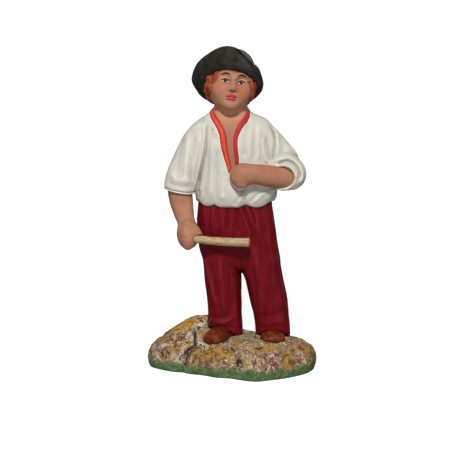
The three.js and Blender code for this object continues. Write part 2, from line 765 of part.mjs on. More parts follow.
// The same closed skin with the ends of its shortest edges drawn together, so that the joins leave
// no slivers. An edge stays where drawing it together would fold the skin or pinch it.
function drawShortEdges(points, faces, shortest) {
  const lengthOf = (a, b) => points[a].distanceTo(points[b]);
  const around = points.map(() => new Set());
  faces.forEach((face, f) => face.forEach((v) => around[v].add(f)));
  const ringOf = (v) => new Set([...around[v]].flatMap((f) => faces[f]).filter((w) => w !== v));
  const normal = (face, swap) => {
    const [a, b, c] = face.map((v) => swap.get(v) ?? points[v]);
    return b.clone().sub(a).cross(c.clone().sub(a));
  };
  const folds = (v, other, swap) =>
    [...around[v]].some((f) => {
      if (faces[f].includes(other)) return false;
      const [before, after] = [normal(faces[f], new Map()), normal(faces[f], swap)];
      return before.length() > 1e-5 && before.normalize().dot(after.normalize()) < 0.3;
    });
  const draw = (a, b) => {
    const [ringA, ringB] = [ringOf(a), ringOf(b)];
    if ([...ringA].filter((v) => ringB.has(v)).length !== 2) return false;
    const middle = points[a].clone().lerp(points[b], 0.5);
    const swap = new Map([[a, middle], [b, middle]]);
    if (folds(a, b, swap) || folds(b, a, swap)) return false;
    points[a] = middle;
    for (const f of around[b])
      if (faces[f].includes(a)) {
        faces[f].forEach((v) => around[v].delete(f));
        faces[f] = null;
      } else {
        faces[f] = faces[f].map((v) => (v === b ? a : v));
        around[a].add(f);
      }
    around[b].clear();
    return true;
  };
  for (let drawn = 1; drawn > 0; ) {
    drawn = 0;
    const edges = faces
      .filter(Boolean)
      .flatMap(([a, b, c]) => [[a, b], [b, c], [c, a]])
      .filter(([a, b]) => a < b && lengthOf(a, b) < shortest)
      .sort(([a, b], [c, d]) => lengthOf(a, b) - lengthOf(c, d));
    for (const [a, b] of edges)
      if (around[a].size && around[b].size && ringOf(a).has(b) && draw(a, b)) drawn++;
  }
  return faces.filter(Boolean);
}

// A geometry from a solid
function geometryOf(made) {
  const { vertProperties, triVerts, numProp, numVert } = made.getMesh();
  const points = Array.from({ length: numVert }, (_, i) =>
    vec(...vertProperties.subarray(i * numProp, i * numProp + 3)),
  );
  const corners = Array.from({ length: triVerts.length / 3 }, (_, f) => [
    ...triVerts.subarray(3 * f, 3 * f + 3),
  ]);
  const faces = drawShortEdges(points, corners, shortestEdge);
  return mergeVertices(new THREE.BufferGeometry().setFromPoints(faces.flat().map((v) => points[v])));
}

function named(name, geometry, material) {
  const mesh = new THREE.Mesh(geometry, new THREE.MeshStandardMaterial(material));
  mesh.name = name;
  return mesh;
}

const whole = new THREE.Group();
whole.add(
  named("santon_figure", geometryOf(santon()), { color: 0xb9a48c, roughness: 0.6, metalness: 0 }),
  named("stick", stick(), { color: 0xd9c08c, roughness: 0.7, metalness: 0 }),
);

// The origin is under the middle of the whole piece
const extent = new THREE.Box3().setFromObject(whole);
whole.position.set(-(extent.min.x + extent.max.x) / 2, -(extent.min.y + extent.max.y) / 2, -extent.min.z);

export default whole;
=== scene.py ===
import math

import bmesh
import bpy
import numpy as np
from mathutils import Matrix, Vector


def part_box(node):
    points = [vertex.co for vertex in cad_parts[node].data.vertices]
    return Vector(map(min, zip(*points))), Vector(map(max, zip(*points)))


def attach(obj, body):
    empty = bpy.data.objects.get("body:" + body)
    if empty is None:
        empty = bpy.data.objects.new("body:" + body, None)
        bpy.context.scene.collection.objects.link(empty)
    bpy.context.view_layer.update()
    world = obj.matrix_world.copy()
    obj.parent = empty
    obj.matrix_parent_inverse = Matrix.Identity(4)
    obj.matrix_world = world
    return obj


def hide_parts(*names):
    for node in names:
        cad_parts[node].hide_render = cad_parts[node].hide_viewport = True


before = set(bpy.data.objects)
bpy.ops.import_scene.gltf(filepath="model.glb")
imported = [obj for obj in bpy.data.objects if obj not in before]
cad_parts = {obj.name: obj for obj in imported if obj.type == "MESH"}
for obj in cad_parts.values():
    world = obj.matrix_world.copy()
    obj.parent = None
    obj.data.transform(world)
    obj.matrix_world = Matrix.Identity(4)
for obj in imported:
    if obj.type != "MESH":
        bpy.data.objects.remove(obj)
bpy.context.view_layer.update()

FIGURE = "santon_figure"
low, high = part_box(FIGURE)

# Sizes
DRAWN_HEIGHT = 99.956  # from the ground to the top of the hat, as the tables below are drawn
SOLE_HEIGHT = 9.5  # the soles stand this far over the ground
MIDDLE = (0.379, 0.761)  # from the figure's own middle to the middle of the whole piece
UNIT = (high.z - low.z) / DRAWN_HEIGHT  # metres in a drawn millimetre
STICK_DIAMETER = 2.6
STICK_LENGTH = 20.0
STICK_HIDDEN = 3.0
STICK_SAG = 0.3

# The camera looks down by this, and its picture is so many steps across
LOOK_DOWN = math.radians(14)
PICTURE = 458
STEPS_PER_MM = 3.307
STEP = 1 / STEPS_PER_MM  # millimetres in a step of the picture
PICTURE_MIDDLE = (232.5, 366.4)  # the step where x is 0, and the one of the ground under the figure


def framed(points):
    """Drawn places in millimetres, as places in the frame in metres."""
    return (np.asarray(points) + np.array([*MIDDLE, SOLE_HEIGHT])) * UNIT


def seen(points):
    """How far across and up the picture each place lies, in millimetres."""
    up = math.cos(LOOK_DOWN) * (points[:, 2] + SOLE_HEIGHT) + math.sin(LOOK_DOWN) * points[:, 1]
    return np.stack([points[:, 0], up], axis=1)


def from_picture(steps):
    """Places given in steps of the picture, in millimetres across and up it."""
    steps = np.asarray(steps, float)
    return np.stack([steps[:, 0] - PICTURE_MIDDLE[0], PICTURE_MIDDLE[1] - steps[:, 1]], axis=1) * STEP


# Sculpting. A field gives the distance of points from a surface, below 0 inside it.

def smoothstep(value, start, end):
    t = np.clip((value - start) / (end - start), 0, 1)
    return t * t * (3 - 2 * t)


def blended(a, b, soft):
    """Two fields joined, with the crease between them filled over a width."""
    fill = np.maximum(soft - np.abs(a - b), 0) / soft
    return np.minimum(a, b) - fill * fill * soft * 0.25


def carved(a, b, soft):
    """The first field with the second cut out of it."""
    return -blended(-a, b, soft)


def built(body, *shapes):
    """A body with shapes joined to it in turn, or cut out of it where the soft width is below 0."""
    for shape, soft in shapes:
        body = blended(body, shape, soft) if soft > 0 else carved(body, shape, -soft)
    return body


def clipped(a, b, soft):
    """What lies in both fields."""
    return -blended(-a, -b, soft)


def curve_through(rows, count=24):
    """A table as columns on a smooth curve through its rows. A row starts with its height."""
    rows = np.array(rows, float)
    last = len(rows) - 1
    parts = []
    for i in range(last):
        a, b, before, after = rows[i], rows[i + 1], rows[max(i - 1, 0)], rows[min(i + 2, last)]
        t = np.linspace(0, 1, count, endpoint=False)[:, None]
        span, rise = b[0] - a[0], b - a
        start = (b - before) / (b[0] - before[0]) * span
        end = (after - a) / (after[0] - a[0]) * span
        parts.append(a + t * (start + t * (3 * rise - 2 * start - end + t * (start + end - 2 * rise))))
    return np.vstack([*parts, rows[-1:]])


def near_only(points, lowest, highest, field, pad=3.0):
    """The field where points lie near a box, and the distance to the box elsewhere."""
    lowest, highest = np.asarray(lowest) - pad, np.asarray(highest) + pad
    gap = np.maximum(np.maximum(lowest - points, points - highest), 0)
    result = np.sqrt((gap * gap).sum(1)) + pad
    inside = ~gap.any(axis=1)
    if inside.any():
        result[inside] = field(points[inside])
    return result


def bump(degrees, at, width):
    """1 at an angle and less away from it."""
    away = (degrees - at + 540) % 360 - 180
    return np.exp(-((away / width) ** 2))


def folds_of(rows):
    """Soft ridges and hollows that run up a cloth surface: angle, width, depth, lowest, highest, lean."""
    def relief(degrees, height):
        total = np.zeros_like(height)
        for at, width, deep, start, end, *lean in rows:
            shift = (lean[0] if lean else 0) * (height - start)
            fade = smoothstep(height, start, start + 0.25 * (end - start))
            fade = fade * (1 - smoothstep(height, end - 0.35 * (end - start), end))
            total += deep * fade * bump(degrees, at + shift, width)
        return total
    return relief


def loft(points, rows, power=2.2, folds=None, edge=None, rounded=0.6):
    """An upright body through rows of height, middle x and y, half width and half depth."""
    table = curve_through(rows)
    bottom, top = table[0, 0], table[-1, 0]
    reach = 1.5

    def field(p):
        z = p[:, 2]
        _, x, y, wide, deep = (np.interp(z, table[:, 0], table[:, k]) for k in range(5))
        right, back = (p[:, 0] - x) / wide, (p[:, 1] - y) / deep
        angle = np.arctan2(back, right)
        square = (np.abs(np.cos(angle)) ** power + np.abs(np.sin(angle)) ** power) ** (-1 / power)
        share = np.maximum(np.hypot(right, back) / square, 1e-3)
        out = np.hypot(p[:, 0] - x, p[:, 1] - y) * (1 - 1 / share)
        degrees = np.degrees(angle)
        if folds:
            out = out - folds(degrees, z) * smoothstep(share, 0.3, 0.8)
        floor = bottom
        if edge:
            floor = bottom + edge(degrees)
        return clipped(clipped(out, floor - z, rounded), z - top, rounded)

    lowest = [(table[:, 1] - table[:, 3]).min(), (table[:, 2] - table[:, 4]).min(), bottom]
    highest = [(table[:, 1] + table[:, 3]).max(), (table[:, 2] + table[:, 4]).max(), top]
    return near_only(points, np.array(lowest) - reach, np.array(highest) + reach, field)


def lengths_along(line):
    """How far along a line each of its places lies."""
    return np.r_[0, np.cumsum(np.linalg.norm(np.diff(line, axis=0), axis=1))]


def smooth_line(places, count=8):
    """Places on a smooth line through the given ones."""
    places = np.asarray(places, float)
    return curve_through(np.column_stack([lengths_along(places[:, :3]), places]), count)[:, 1:]


def along(p, line):
    """For each point, its distance from a line of places and the share of the way along it."""
    nearest = np.full(len(p), 1e9)
    share = np.zeros(len(p))
    lengths = lengths_along(line)
    for i, (a, b) in enumerate(zip(line[:-1], line[1:])):
        way = b - a
        long = way @ way
        t = np.clip((p - a) @ way / long, 0, 1)
        off = p - a - t[:, None] * way
        distance = np.sqrt((off * off).sum(1))
        closer = distance < nearest
        nearest[closer] = distance[closer]
        share[closer] = (lengths[i] + t[closer] * math.sqrt(long)) / lengths[-1]
    return nearest, share


def limb(points, rows, folds=None, count=6):
    """A round limb through rows of x, y, z and radius."""
    table = smooth_line(rows, count)
    line, radii = table[:, :3], table[:, 3]
    lengths = lengths_along(line)
    lengths /= lengths[-1]

    def field(p):
        distance, share = along(p, line)
        distance = distance - np.interp(share, lengths, radii)
        if folds:
            middle = np.stack([np.interp(share, lengths, line[:, k]) for k in range(3)], axis=1)
            way = (line[-1] - line[0]) / np.linalg.norm(line[-1] - line[0])
            side = np.cross([0, 0, 1], way)
            side /= np.linalg.norm(side)
            off = p - middle
            degrees = np.degrees(np.arctan2(off @ np.cross(way, side), off @ side))
            distance = distance - folds(degrees, share)
        return distance

    reach = radii.max() + 0.5
    return near_only(points, line.min(0) - reach, line.max(0) + reach, field)


def egg(points, centre, half, turn=None):
    """An ellipsoid of three half sizes."""
    half = np.asarray(half, float)

    def field(p):
        q = p - np.asarray(centre)
        if turn is not None:
            q = q @ turn
        share = np.linalg.norm(q / half, axis=1)
        return share * (share - 1) / np.maximum(np.linalg.norm(q / half**2, axis=1), 1e-6)

    reach = half.max()
    return near_only(points, np.asarray(centre) - reach, np.asarray(centre) + reach, field)


def outline_distance(p, outline):
    """Distance from a closed outline in a plane, below 0 inside it."""
    nearest = np.full(len(p), 1e9)
    inside = np.zeros(len(p), bool)
    outline = np.array(outline)
    for a, b in zip(outline, np.roll(outline, -1, axis=0)):
        way = b - a
        t = np.clip((p - a) @ way / (way @ way), 0, 1)
        nearest = np.minimum(nearest, np.linalg.norm(p - a - t[:, None] * way, axis=1))
        if a[1] != b[1]:
            between = (a[1] > p[:, 1]) != (b[1] > p[:, 1])
            inside ^= between & (p[:, 0] < a[0] + (p[:, 1] - a[1]) / (b[1] - a[1]) * way[0])
    return np.where(inside, -nearest, nearest)


LATTICE = np.random.default_rng(7).uniform(-1, 1, (4, 32, 32, 32))


def mottle(points, size, kind=0):
    """Smooth random relief from -1 to 1, with lumps of a size."""
    q = points / size + 11.3 * kind
    whole = np.floor(q).astype(int)
    t = q - whole
    t = t * t * (3 - 2 * t)
    grid = LATTICE[kind % 4]
    total = 0
    for corner in range(8):
        pick = [(corner >> k) & 1 for k in range(3)]
        weight = np.prod([t[:, k] if pick[k] else 1 - t[:, k] for k in range(3)], axis=0)
        i, j, k = ((whole[:, a] + pick[a]) & 31 for a in range(3))
        total = total + weight * grid[i, j, k]
    return total


def drawn_relief(points, strokes, facing):
    """Ridges, and creases where deep is negative, along lines of the picture: line, width, depth."""
    places = seen(points)
    total = np.zeros(len(points))
    for line, width, deep in strokes:
        line = smooth_line(from_picture(line), 5)
        close = ((places > line.min(0) - 3 * width) & (places < line.max(0) + 3 * width)).all(axis=1)
        close &= facing > 0
        if close.any():
            distance, share = along(places[close], line)
            ends = smoothstep(share, -0.02, 0.12) * (1 - smoothstep(share, 0.85, 1.02))
            total[close] += deep * ends * np.exp(-((distance / width) ** 2)) * facing[close]
    return total


def sculpted(field, lowest, highest, cell):
    """The zero surface of a field: its points, its faces and the points' outward directions."""
    block = 6
    lowest = np.asarray(lowest, float)
    blocks = np.ceil((np.asarray(highest) - lowest) / cell / block).astype(int) + 1
    count = blocks * block
    centre = np.stack(np.meshgrid(*[np.arange(n) for n in blocks], indexing="ij"), axis=-1).reshape(-1, 3)
    values = field(lowest + (centre + 0.5) * block * cell)
    # half a block's diagonal, and more because fields aren't true distances everywhere
    wide = block * cell * math.sqrt(3) / 2 * 1.5 + 0.3
    grid = np.repeat(np.repeat(np.repeat(values.reshape(blocks), block, 0), block, 1), block, 2)
    grid = grid.astype(np.float32)
    offsets = np.stack(np.meshgrid(*[np.arange(block)] * 3, indexing="ij"), axis=-1).reshape(-1, 3)
    for some in np.array_split(centre[np.abs(values) < wide], 8):
        if len(some):
            nodes = (some[:, None] * block + offsets).reshape(-1, 3)
            grid[nodes[:, 0], nodes[:, 1], nodes[:, 2]] = field(lowest + nodes * cell)
    inside = grid < 0
    corners = [np.array([(c >> k) & 1 for k in range(3)]) for c in range(8)]
    total = np.zeros(count - 1, np.int8)
    for c in corners:
        total += inside[c[0]: count[0] - 1 + c[0], c[1]: count[1] - 1 + c[1], c[2]: count[2] - 1 + c[2]]
    cells = np.argwhere((total > 0) & (total < 8))
    number = np.full(count - 1, -1, np.int32)
    number[tuple(cells.T)] = np.arange(len(cells))
    at = [grid[tuple((cells + c).T)] for c in corners]
    summed, crossings = np.zeros((len(cells), 3)), np.zeros(len(cells))
    for a in range(8):
        for k in range(3):
            b = a | (1 << k)
            if b == a:
                continue
            crossed = (at[a] < 0) != (at[b] < 0)
            t = at[a][crossed] / (at[a][crossed] - at[b][crossed])
            place = np.repeat(corners[a][None].astype(float), len(t), axis=0)
            place[:, k] = t
            summed[crossed] += place
            crossings[crossed] += 1
    points = lowest + (cells + summed / crossings[:, None]) * cell
    faces = []
    for axis in range(3):
        u, v = (axis + 1) % 3, (axis + 2) % 3
        ahead = np.zeros(3, int)
        ahead[axis] = 1
        size = count - ahead
        first = inside[: size[0], : size[1], : size[2]]
        second = inside[ahead[0]:, ahead[1]:, ahead[2]:]
        edges = np.argwhere(first != second)
        edges = edges[(edges[:, u] > 0) & (edges[:, v] > 0) & (edges < count - 1).all(axis=1)]
        step_u, step_v = np.zeros(3, int), np.zeros(3, int)
        step_u[u], step_v[v] = 1, 1
        around = (step_u + step_v, step_v, 0 * step_u, step_u)
        quad = np.stack([number[tuple((edges - step).T)] for step in around], 1)
        outward = first[tuple(edges.T)]
        quad[~outward] = quad[~outward][:, ::-1]
        faces.append(quad)
    faces = np.vstack(faces)
    # the points slide onto the true surface
    for _ in range(2):
        value, way = slope_of(field, points, 0.25 * cell)
        points = points - way * np.clip(value, -0.4 * cell, 0.4 * cell)[:, None]
    return points, faces, way


def slope_of(field, points, reach):
    """The distance of points from the zero surface, and the direction in which it grows."""
    value = field(points)
    slope = np.empty_like(points)
    for k in range(3):
        moved = points.copy()
        moved[:, k] += reach
        slope[:, k] = (field(moved) - value) / reach
    steep = np.maximum(np.linalg.norm(slope, axis=1), 0.2)
    return value / steep, slope / steep[:, None]


def hollow(field, points, way, reach):
    """How hollow a surface is at its points: 0 where flat, 1 in a deep crease, below 0 on a ridge."""
    return np.clip(1 - field(points + way * reach) / reach, -1, 1)


def put(name, data):
    """A new object in the scene."""
    piece = bpy.data.objects.new(name, data)
    bpy.context.scene.collection.objects.link(piece)
    return piece


def meshed(name, points, faces, values):
    """A piece from points in drawn millimetres and faces of four corners, with its values painted on."""
    mesh = bpy.data.meshes.new(name)
    mesh.vertices.add(len(points))
    mesh.vertices.foreach_set("co", framed(points).astype(np.float32).ravel())
    mesh.loops.add(faces.size)
    mesh.loops.foreach_set("vertex_index", faces.ravel().astype(np.int32))
    mesh.polygons.add(len(faces))
    mesh.polygons.foreach_set("loop_start", np.arange(0, faces.size, 4, dtype=np.int32))
    mesh.update(calc_edges=True)
    mesh.validate()
    mesh.shade_smooth()
    piece = put(name, mesh)
    painted_on(piece, **values)
    return piece


def painted_on(piece, **values):
    for name, value in values.items():
        layer = piece.data.attributes.new(name, "FLOAT", "POINT")
        layer.data.foreach_set("value", np.asarray(value, np.float32))


def turned(x=0, y=0, z=0):
    """A turn about Z, then X, then Y, in degrees, as a 3 by 3 matrix."""
    about_y, about_x, about_z = (
        Matrix.Rotation(math.radians(a), 3, k) for a, k in ((y, "Y"), (x, "X"), (z, "Z"))
    )
    return np.array(about_y @ about_x @ about_z)


# Rock

BASE_WIDE, BASE_DEEP = 52.5, 34.5
BASE_HIGH, RIM_HIGH, ROCK_HIGH = 10.0, 4.6, 5.2
BASE_TURN = math.radians(-18)
BACK_SLOPE = 0.19
BASE_X = -0.1  # the middle of the base's outline
HILL = (-9.2, 5.5, 10.2, 6.5)  # x, y, half width and half depth of the hill at the back left
# The x, y, half width and rise of each lump
ROCK_LUMPS = [
    (-19, -5, 6, 1.2), (-6, -13, 5, 0.9), (9, -14, 6, 0.7), (5, 9, 5.5, -1.3),
    (18, -6, 5, 0.6), (21, -1, 5, 0.35), (-20, 0, 4, 0.5), (18, 5, 5, -0.5),
]
# Angle, width and share by which the edge stands out
EDGE_LOBES = [
    (28, 13, 0.08), (75, 18, 0.03), (150, 20, -0.03), (203, 9, 0.05), (250, 27, -0.165),
    (227, 4.5, -0.06), (285, 12, -0.10), (309, 8, 0.05), (345, 22, -0.065),
]
# From x, y to x, y, half width and depth
CRACKS = [
    (-11.5, 0, -11.3, -8.4, 0.6, 1.0), (-11.2, -7.6, -15.3, -10.4, 1.0, 1.3),
    (1.6, -12.5, 2.8, -17.0, 0.9, 0.5), (-20.5, 5, -23.5, -2, 0.7, 0.6), (17.5, -9, 20.5, -14.5, 0.8, 0.35),
]


def cracked(x, y):
    """How deep the rock's cracks are at places seen from above."""
    deepest = np.zeros_like(x)
    for ax, ay, bx, by, half, deep in CRACKS:
        dx, dy = bx - ax, by - ay
        t = np.clip(((x - ax) * dx + (y - ay) * dy) / (dx * dx + dy * dy), 0, 1)
        away = np.hypot(x - ax - t * dx, y - ay - t * dy)
        deepest = np.maximum(deepest, deep * np.exp(-((away / half) ** 2)))
    return deepest


def base_reach(degrees):
    """How far the base reaches from its middle in each direction."""
    angle = np.radians(degrees)
    reach = 0.5 / np.hypot(np.cos(angle) / BASE_WIDE, np.sin(angle) / BASE_DEEP)
    for at, width, part in EDGE_LOBES:
        reach = reach * (1 + part * bump(degrees, at, width))
    return reach


# Dabs of paint on the rock: lines of the picture and half the dab's width
DABS = {
    "gold": [
        ([(172, 331), (182, 326), (192, 321), (200, 319)], 1.5),
        ([(174, 353), (186, 347), (194, 341)], 0.5), ([(214, 349), (222, 350), (228, 356)], 0.9),
        ([(227, 350), (229, 360), (230, 366)], 0.6), ([(262, 346), (272, 348), (280, 347)], 0.9),
        ([(285, 352), (288, 358), (287, 363)], 1.0), ([(252, 349), (249, 356)], 0.7),
        ([(264, 360), (268, 365)], 0.7), ([(198, 352), (212, 354)], 0.8), ([(302, 343), (308, 346)], 0.6),
    ],
    "grey": [
        ([(191, 331), (200, 327), (207, 324)], 1.1), ([(234, 333), (246, 336), (256, 340)], 1.2),
        ([(198, 334), (200, 341)], 0.9), ([(214, 344), (224, 344), (232, 340)], 0.7),
        ([(155, 350), (158, 358)], 0.5),
    ],
    "pale": [
        ([(176, 341), (184, 337), (191, 334)], 0.7), ([(158, 351), (163, 346), (170, 344)], 0.6),
        ([(197, 334), (198, 340), (204, 345), (210, 346)], 0.55),
        ([(189, 331), (192, 336), (191, 342)], 0.4), ([(194, 329), (200, 325), (206, 322)], 0.7),
        ([(156, 356), (161, 361)], 0.4), ([(302, 356), (306, 365)], 0.5), ([(270, 355), (281, 352)], 0.5),
        ([(240, 345), (248, 342)], 0.5), ([(222, 361), (226, 366)], 0.4), ([(186, 359), (192, 362)], 0.4),
        ([(258, 352), (262, 356)], 0.5), ([(212, 366), (217, 362)], 0.3),
    ],
    "purple": [
        ([(235, 353), (239, 361), (242, 373)], 1.0),
        ([(192, 349), (186, 355), (183, 361), (184, 367)], 0.6), ([(243, 350), (246, 354)], 0.5),
        ([(192, 324), (199, 329)], 0.5), ([(256, 352), (262, 357)], 0.5), ([(276, 354), (281, 357)], 0.4),
        ([(166, 350), (168, 356)], 0.4), ([(184, 353), (191, 346)], 0.4), ([(288, 345), (293, 343)], 0.4),
    ],
    "red": [
        ([(160, 357), (166, 357), (170, 353)], 0.6), ([(205, 354), (213, 352)], 0.35),
        ([(206, 360), (208, 366)], 0.5), ([(212, 357), (210, 363)], 0.45),
        ([(220, 360), (227, 357)], 0.35), ([(250, 361), (257, 359)], 0.4),
        ([(268, 360), (274, 362), (279, 367)], 0.6), ([(289, 363), (297, 361), (303, 363)], 0.7),
        ([(310, 351), (314, 358)], 0.6), ([(169, 335), (174, 343), (178, 348)], 0.5),
        ([(160, 362), (163, 367)], 0.5), ([(297, 347), (305, 350)], 0.4),
        ([(172, 346), (177, 351), (176, 357)], 0.5), ([(163, 351), (167, 347)], 0.45),
        ([(151, 350), (150, 358)], 0.5), ([(197, 363), (200, 368)], 0.5),
    ],
    "dark": [
        ([(194, 332), (195, 336), (194.5, 341), (196, 346)], 0.42), ([(200, 327), (197, 331)], 0.4),
        ([(197, 344), (190, 349), (184, 353.5), (180, 358), (181, 363)], 0.42),
        ([(193, 350), (188, 355), (186, 361), (185, 367)], 0.28), ([(199, 344), (205, 347)], 0.25),
        ([(237, 366), (239, 360), (242, 362)], 0.35), ([(253, 348), (259, 348.5), (263, 347)], 0.3),
        ([(231, 347), (235, 352)], 0.3), ([(161, 352), (164, 356)], 0.3),
        ([(208, 350), (214, 348)], 0.25),
    ],
}


def dabs_of(colour):
    marks = [(line, width, 1.0) for line, width in DABS[colour]]

    def work(points, way):
        towards = math.sin(LOOK_DOWN) * way[:, 2] - math.cos(LOOK_DOWN) * way[:, 1]
        return np.clip(drawn_relief(points, marks, smoothstep(towards, 0, 0.3)), 0, 1)
    return work


def rock(points):
    x, y, z = points[:, 0], points[:, 1], points[:, 2] + SOLE_HEIGHT
    wander = points + 0.5 * np.stack([mottle(points, 2.6, 1), mottle(points, 2.6, 2), 0 * x], axis=1)
    degrees = np.degrees(np.arctan2(y, x - BASE_X) - BASE_TURN)
    reach = base_reach(degrees) * (0.98 + 0.02 * np.clip(z / 2.85, 0, 1))
    away = np.hypot(x - BASE_X, y)
    out = np.clip(away / reach, 0, 1.05)
    hill_x, hill_y, wide, deep = HILL
    hill = np.exp(-(((x - hill_x) / wide) ** 2) - ((y - hill_y) / deep) ** 2)
    top = BASE_HIGH - (BASE_HIGH - RIM_HIGH) * out**4.5 - BACK_SLOPE * np.maximum(0, y - 2)
    top = top + ROCK_HIGH * hill * (1 - np.minimum(out, 1) ** 6)
    for lx, ly, half, rise in ROCK_LUMPS:
        top = top + rise * np.exp(-(((x - lx) / half) ** 2) - ((y - ly) / half) ** 2)
    top = top - cracked(wander[:, 0], wander[:, 1])
    steep = 1 / np.sqrt(1 + (0.35 + 1.3 * out**5) ** 2)
    body = clipped((z - top) * steep, away - reach, 2.2)
    flat = points * np.array([1, 1, 0.8])
    relief = 0.36 * np.abs(mottle(flat, 3.1, 0)) + 0.30 * np.abs(mottle(flat, 1.5, 1))
    relief = relief + 0.15 * mottle(flat, 0.8, 2)
    body = body + (relief - 0.27) * smoothstep(z, 0.2, 1.4)
    return clipped(body, -z, 0.25)


# Trousers and shoes

# Rows of height, middle x and y, half width and half depth
RIGHT_LEG = [
    (-0.6, -2.1, 0.4, 5.35, 5.6), (4, -2.3, 0.1, 5.35, 5.4), (7.5, -2.3, 0, 5.15, 5.2),
    (11, -2.45, 0, 5.25, 5.4), (14.5, -2.65, 0, 5.4, 5.8), (18.2, -2.9, 0.2, 5.65, 6.4),
    (22, -3.1, 0.3, 5.7, 7.0), (28, -3.1, 0.2, 6.4, 7.2),
]
LEFT_LEG = [
    (-0.6, 12.4, 0.6, 5.25, 5.6), (3.2, 12.15, 0.4, 5.3, 5.4), (7, 11.7, 0, 5.4, 5.4),
    (10.7, 11.1, -0.3, 5.7, 5.7), (14.4, 10.4, -0.4, 5.8, 6.1), (18.2, 9.5, -0.3, 5.85, 6.6),
    (22, 8.3, 0, 6.4, 7.0), (24.6, 7.4, 0.1, 6.85, 7.2), (28, 5.6, 0.2, 7.0, 7.2),
]
HIPS = [
    (20.5, 3.1, 0.4, 0.8, 1.4), (21.2, 3.05, 0.4, 2.2, 3.4), (22.4, 3.0, 0.3, 9.4, 5.7),
    (23.9, 2.85, 0.3, 11.15, 6.9), (26.2, 2.2, 0.3, 11.85, 7.6), (29.4, 1.6, 0.2, 12.0, 8.0),
    (34.4, 1.1, 0.1, 11.85, 8.0), (38.1, 0.85, 0, 11.55, 7.7), (46, 0.8, 0, 10.6, 6.9),
]
RIGHT_LEG_FOLDS = folds_of([
    (232, 12, 0.3, 5, 27, 0.6), (100, 16, 0.35, 2, 24), (60, 12, -0.3, 4, 22),
])
LEFT_LEG_FOLDS = folds_of([
    (238, 10, -0.3, 5, 24, 0.6), (85, 15, 0.35, 2, 24), (125, 12, -0.3, 4, 22),
])
HIP_FOLDS = folds_of([
    (90, 6, -0.7, 18, 34), (62, 20, 0.7, 18, 34), (118, 20, 0.7, 18, 34),
    (40, 8, 0.35, 28, 52), (75, 7, 0.3, 30, 52), (105, 7, 0.3, 30, 52), (140, 8, 0.35, 28, 52),
    (55, 6, -0.3, 28, 52), (125, 6, -0.3, 28, 52),
])
# Lines of the picture, width and depth of each fold
TROUSER_FOLDS = [
    ([(201, 204), (202, 218), (204.5, 229)], 0.6, -0.2),
    ([(205.5, 205), (206, 222), (207.5, 242)], 0.7, 0.24),
    ([(210, 205), (210, 218), (209.5, 231)], 0.45, -0.3),
    ([(213.5, 204), (214.5, 226), (213.5, 246)], 0.7, 0.26),
    ([(218, 205), (218.5, 216), (218, 226)], 0.4, -0.28),
    ([(222.5, 205), (222.5, 224), (221.5, 244)], 0.7, 0.24),
    ([(227.5, 206), (227, 220), (226.5, 232)], 0.45, -0.3),
    ([(232, 206), (231.5, 222), (230, 240)], 0.6, 0.24),
    ([(236.5, 207), (237, 221), (239.5, 234)], 0.5, -0.3),
    ([(239.5, 205), (243, 217), (247, 226), (252, 238)], 0.36, 0.42),
    ([(242.5, 206), (246.5, 217), (250, 227), (254, 240)], 0.32, -0.3),
    ([(246, 205), (249, 213), (252.5, 225)], 0.34, 0.4),
    ([(249, 205), (252, 213), (255.5, 226)], 0.32, -0.3),
    ([(252, 205), (255, 216), (259, 234)], 0.55, 0.32),
    ([(259, 206), (261, 222), (264, 244)], 0.7, -0.28),
    ([(265, 205), (267, 225), (270, 250), (275, 295)], 0.9, 0.32),
    ([(252, 240), (257, 262), (260, 290), (263, 322)], 1.1, 0.34),
    ([(269, 262), (272, 284), (274, 318)], 0.8, -0.25),
    ([(252, 266), (256, 288), (259, 314)], 0.7, -0.3),
    ([(279, 290), (281, 310), (283, 328)], 0.9, 0.3),
    ([(205, 256), (208.5, 275), (213, 292), (216.5, 306)], 0.75, 0.45),
    ([(211, 262), (214.5, 280), (218, 302)], 0.6, -0.28),
    ([(220, 256), (221, 280), (223, 312)], 1.0, 0.32),
    ([(229, 262), (229, 285), (230.5, 314)], 0.7, -0.3),
    ([(235, 276), (235, 298), (236.5, 322)], 0.8, 0.28),
    ([(209.5, 314), (216, 317.5), (224, 318), (231, 313)], 0.7, -0.28),
    ([(208.5, 319), (214, 322), (222, 322.5), (230, 320), (234, 314)], 0.5, 0.36),
    ([(213, 330), (225, 327), (236, 329)], 0.5, -0.25),
    ([(257, 321), (268, 324), (284, 320)], 0.7, 0.22),
    ([(257, 314), (268, 316), (284, 312)], 0.8, -0.2),
    ([(240.5, 255), (241.5, 264), (242, 273)], 0.35, -0.3),
]


def hem_over(lift, toe, sharp):
    """A hem that lies on the shoe and rises towards the toe."""
    return lambda degrees: lift * (0.5 + 0.5 * np.cos(np.radians(degrees - toe))) ** sharp


def trousers(points):
    legs = blended(
        loft(points, RIGHT_LEG, folds=RIGHT_LEG_FOLDS, edge=hem_over(4.2, 226, 1.5), rounded=0.8),
        loft(points, LEFT_LEG, folds=LEFT_LEG_FOLDS, edge=hem_over(3.0, 272, 3), rounded=0.8), 0.6,
    )
    body = blended(legs, loft(points, HIPS, power=2.3, folds=HIP_FOLDS), 1.0)
    facing = smoothstep(-points[:, 1], 0.5, 2.5)
    close = np.abs(body) < 2.5
    body[close] -= drawn_relief(points[close], TROUSER_FOLDS, facing[close])
    return body - 0.05 * mottle(points, 1.9, 3)


SOLE_LINE = 0.6  # where the upper starts, over the soles
# Share of the way from heel to toe, half width and height
SHOE = [
    (0, 1.2, 2.2), (0.06, 2.2, 3.2), (0.25, 2.8, 4.4), (0.5, 3.2, 4.7),
    (0.7, 3.65, 4.3), (0.85, 3.4, 3.6), (0.95, 2.5, 2.7), (1, 1.2, 1.7),
]
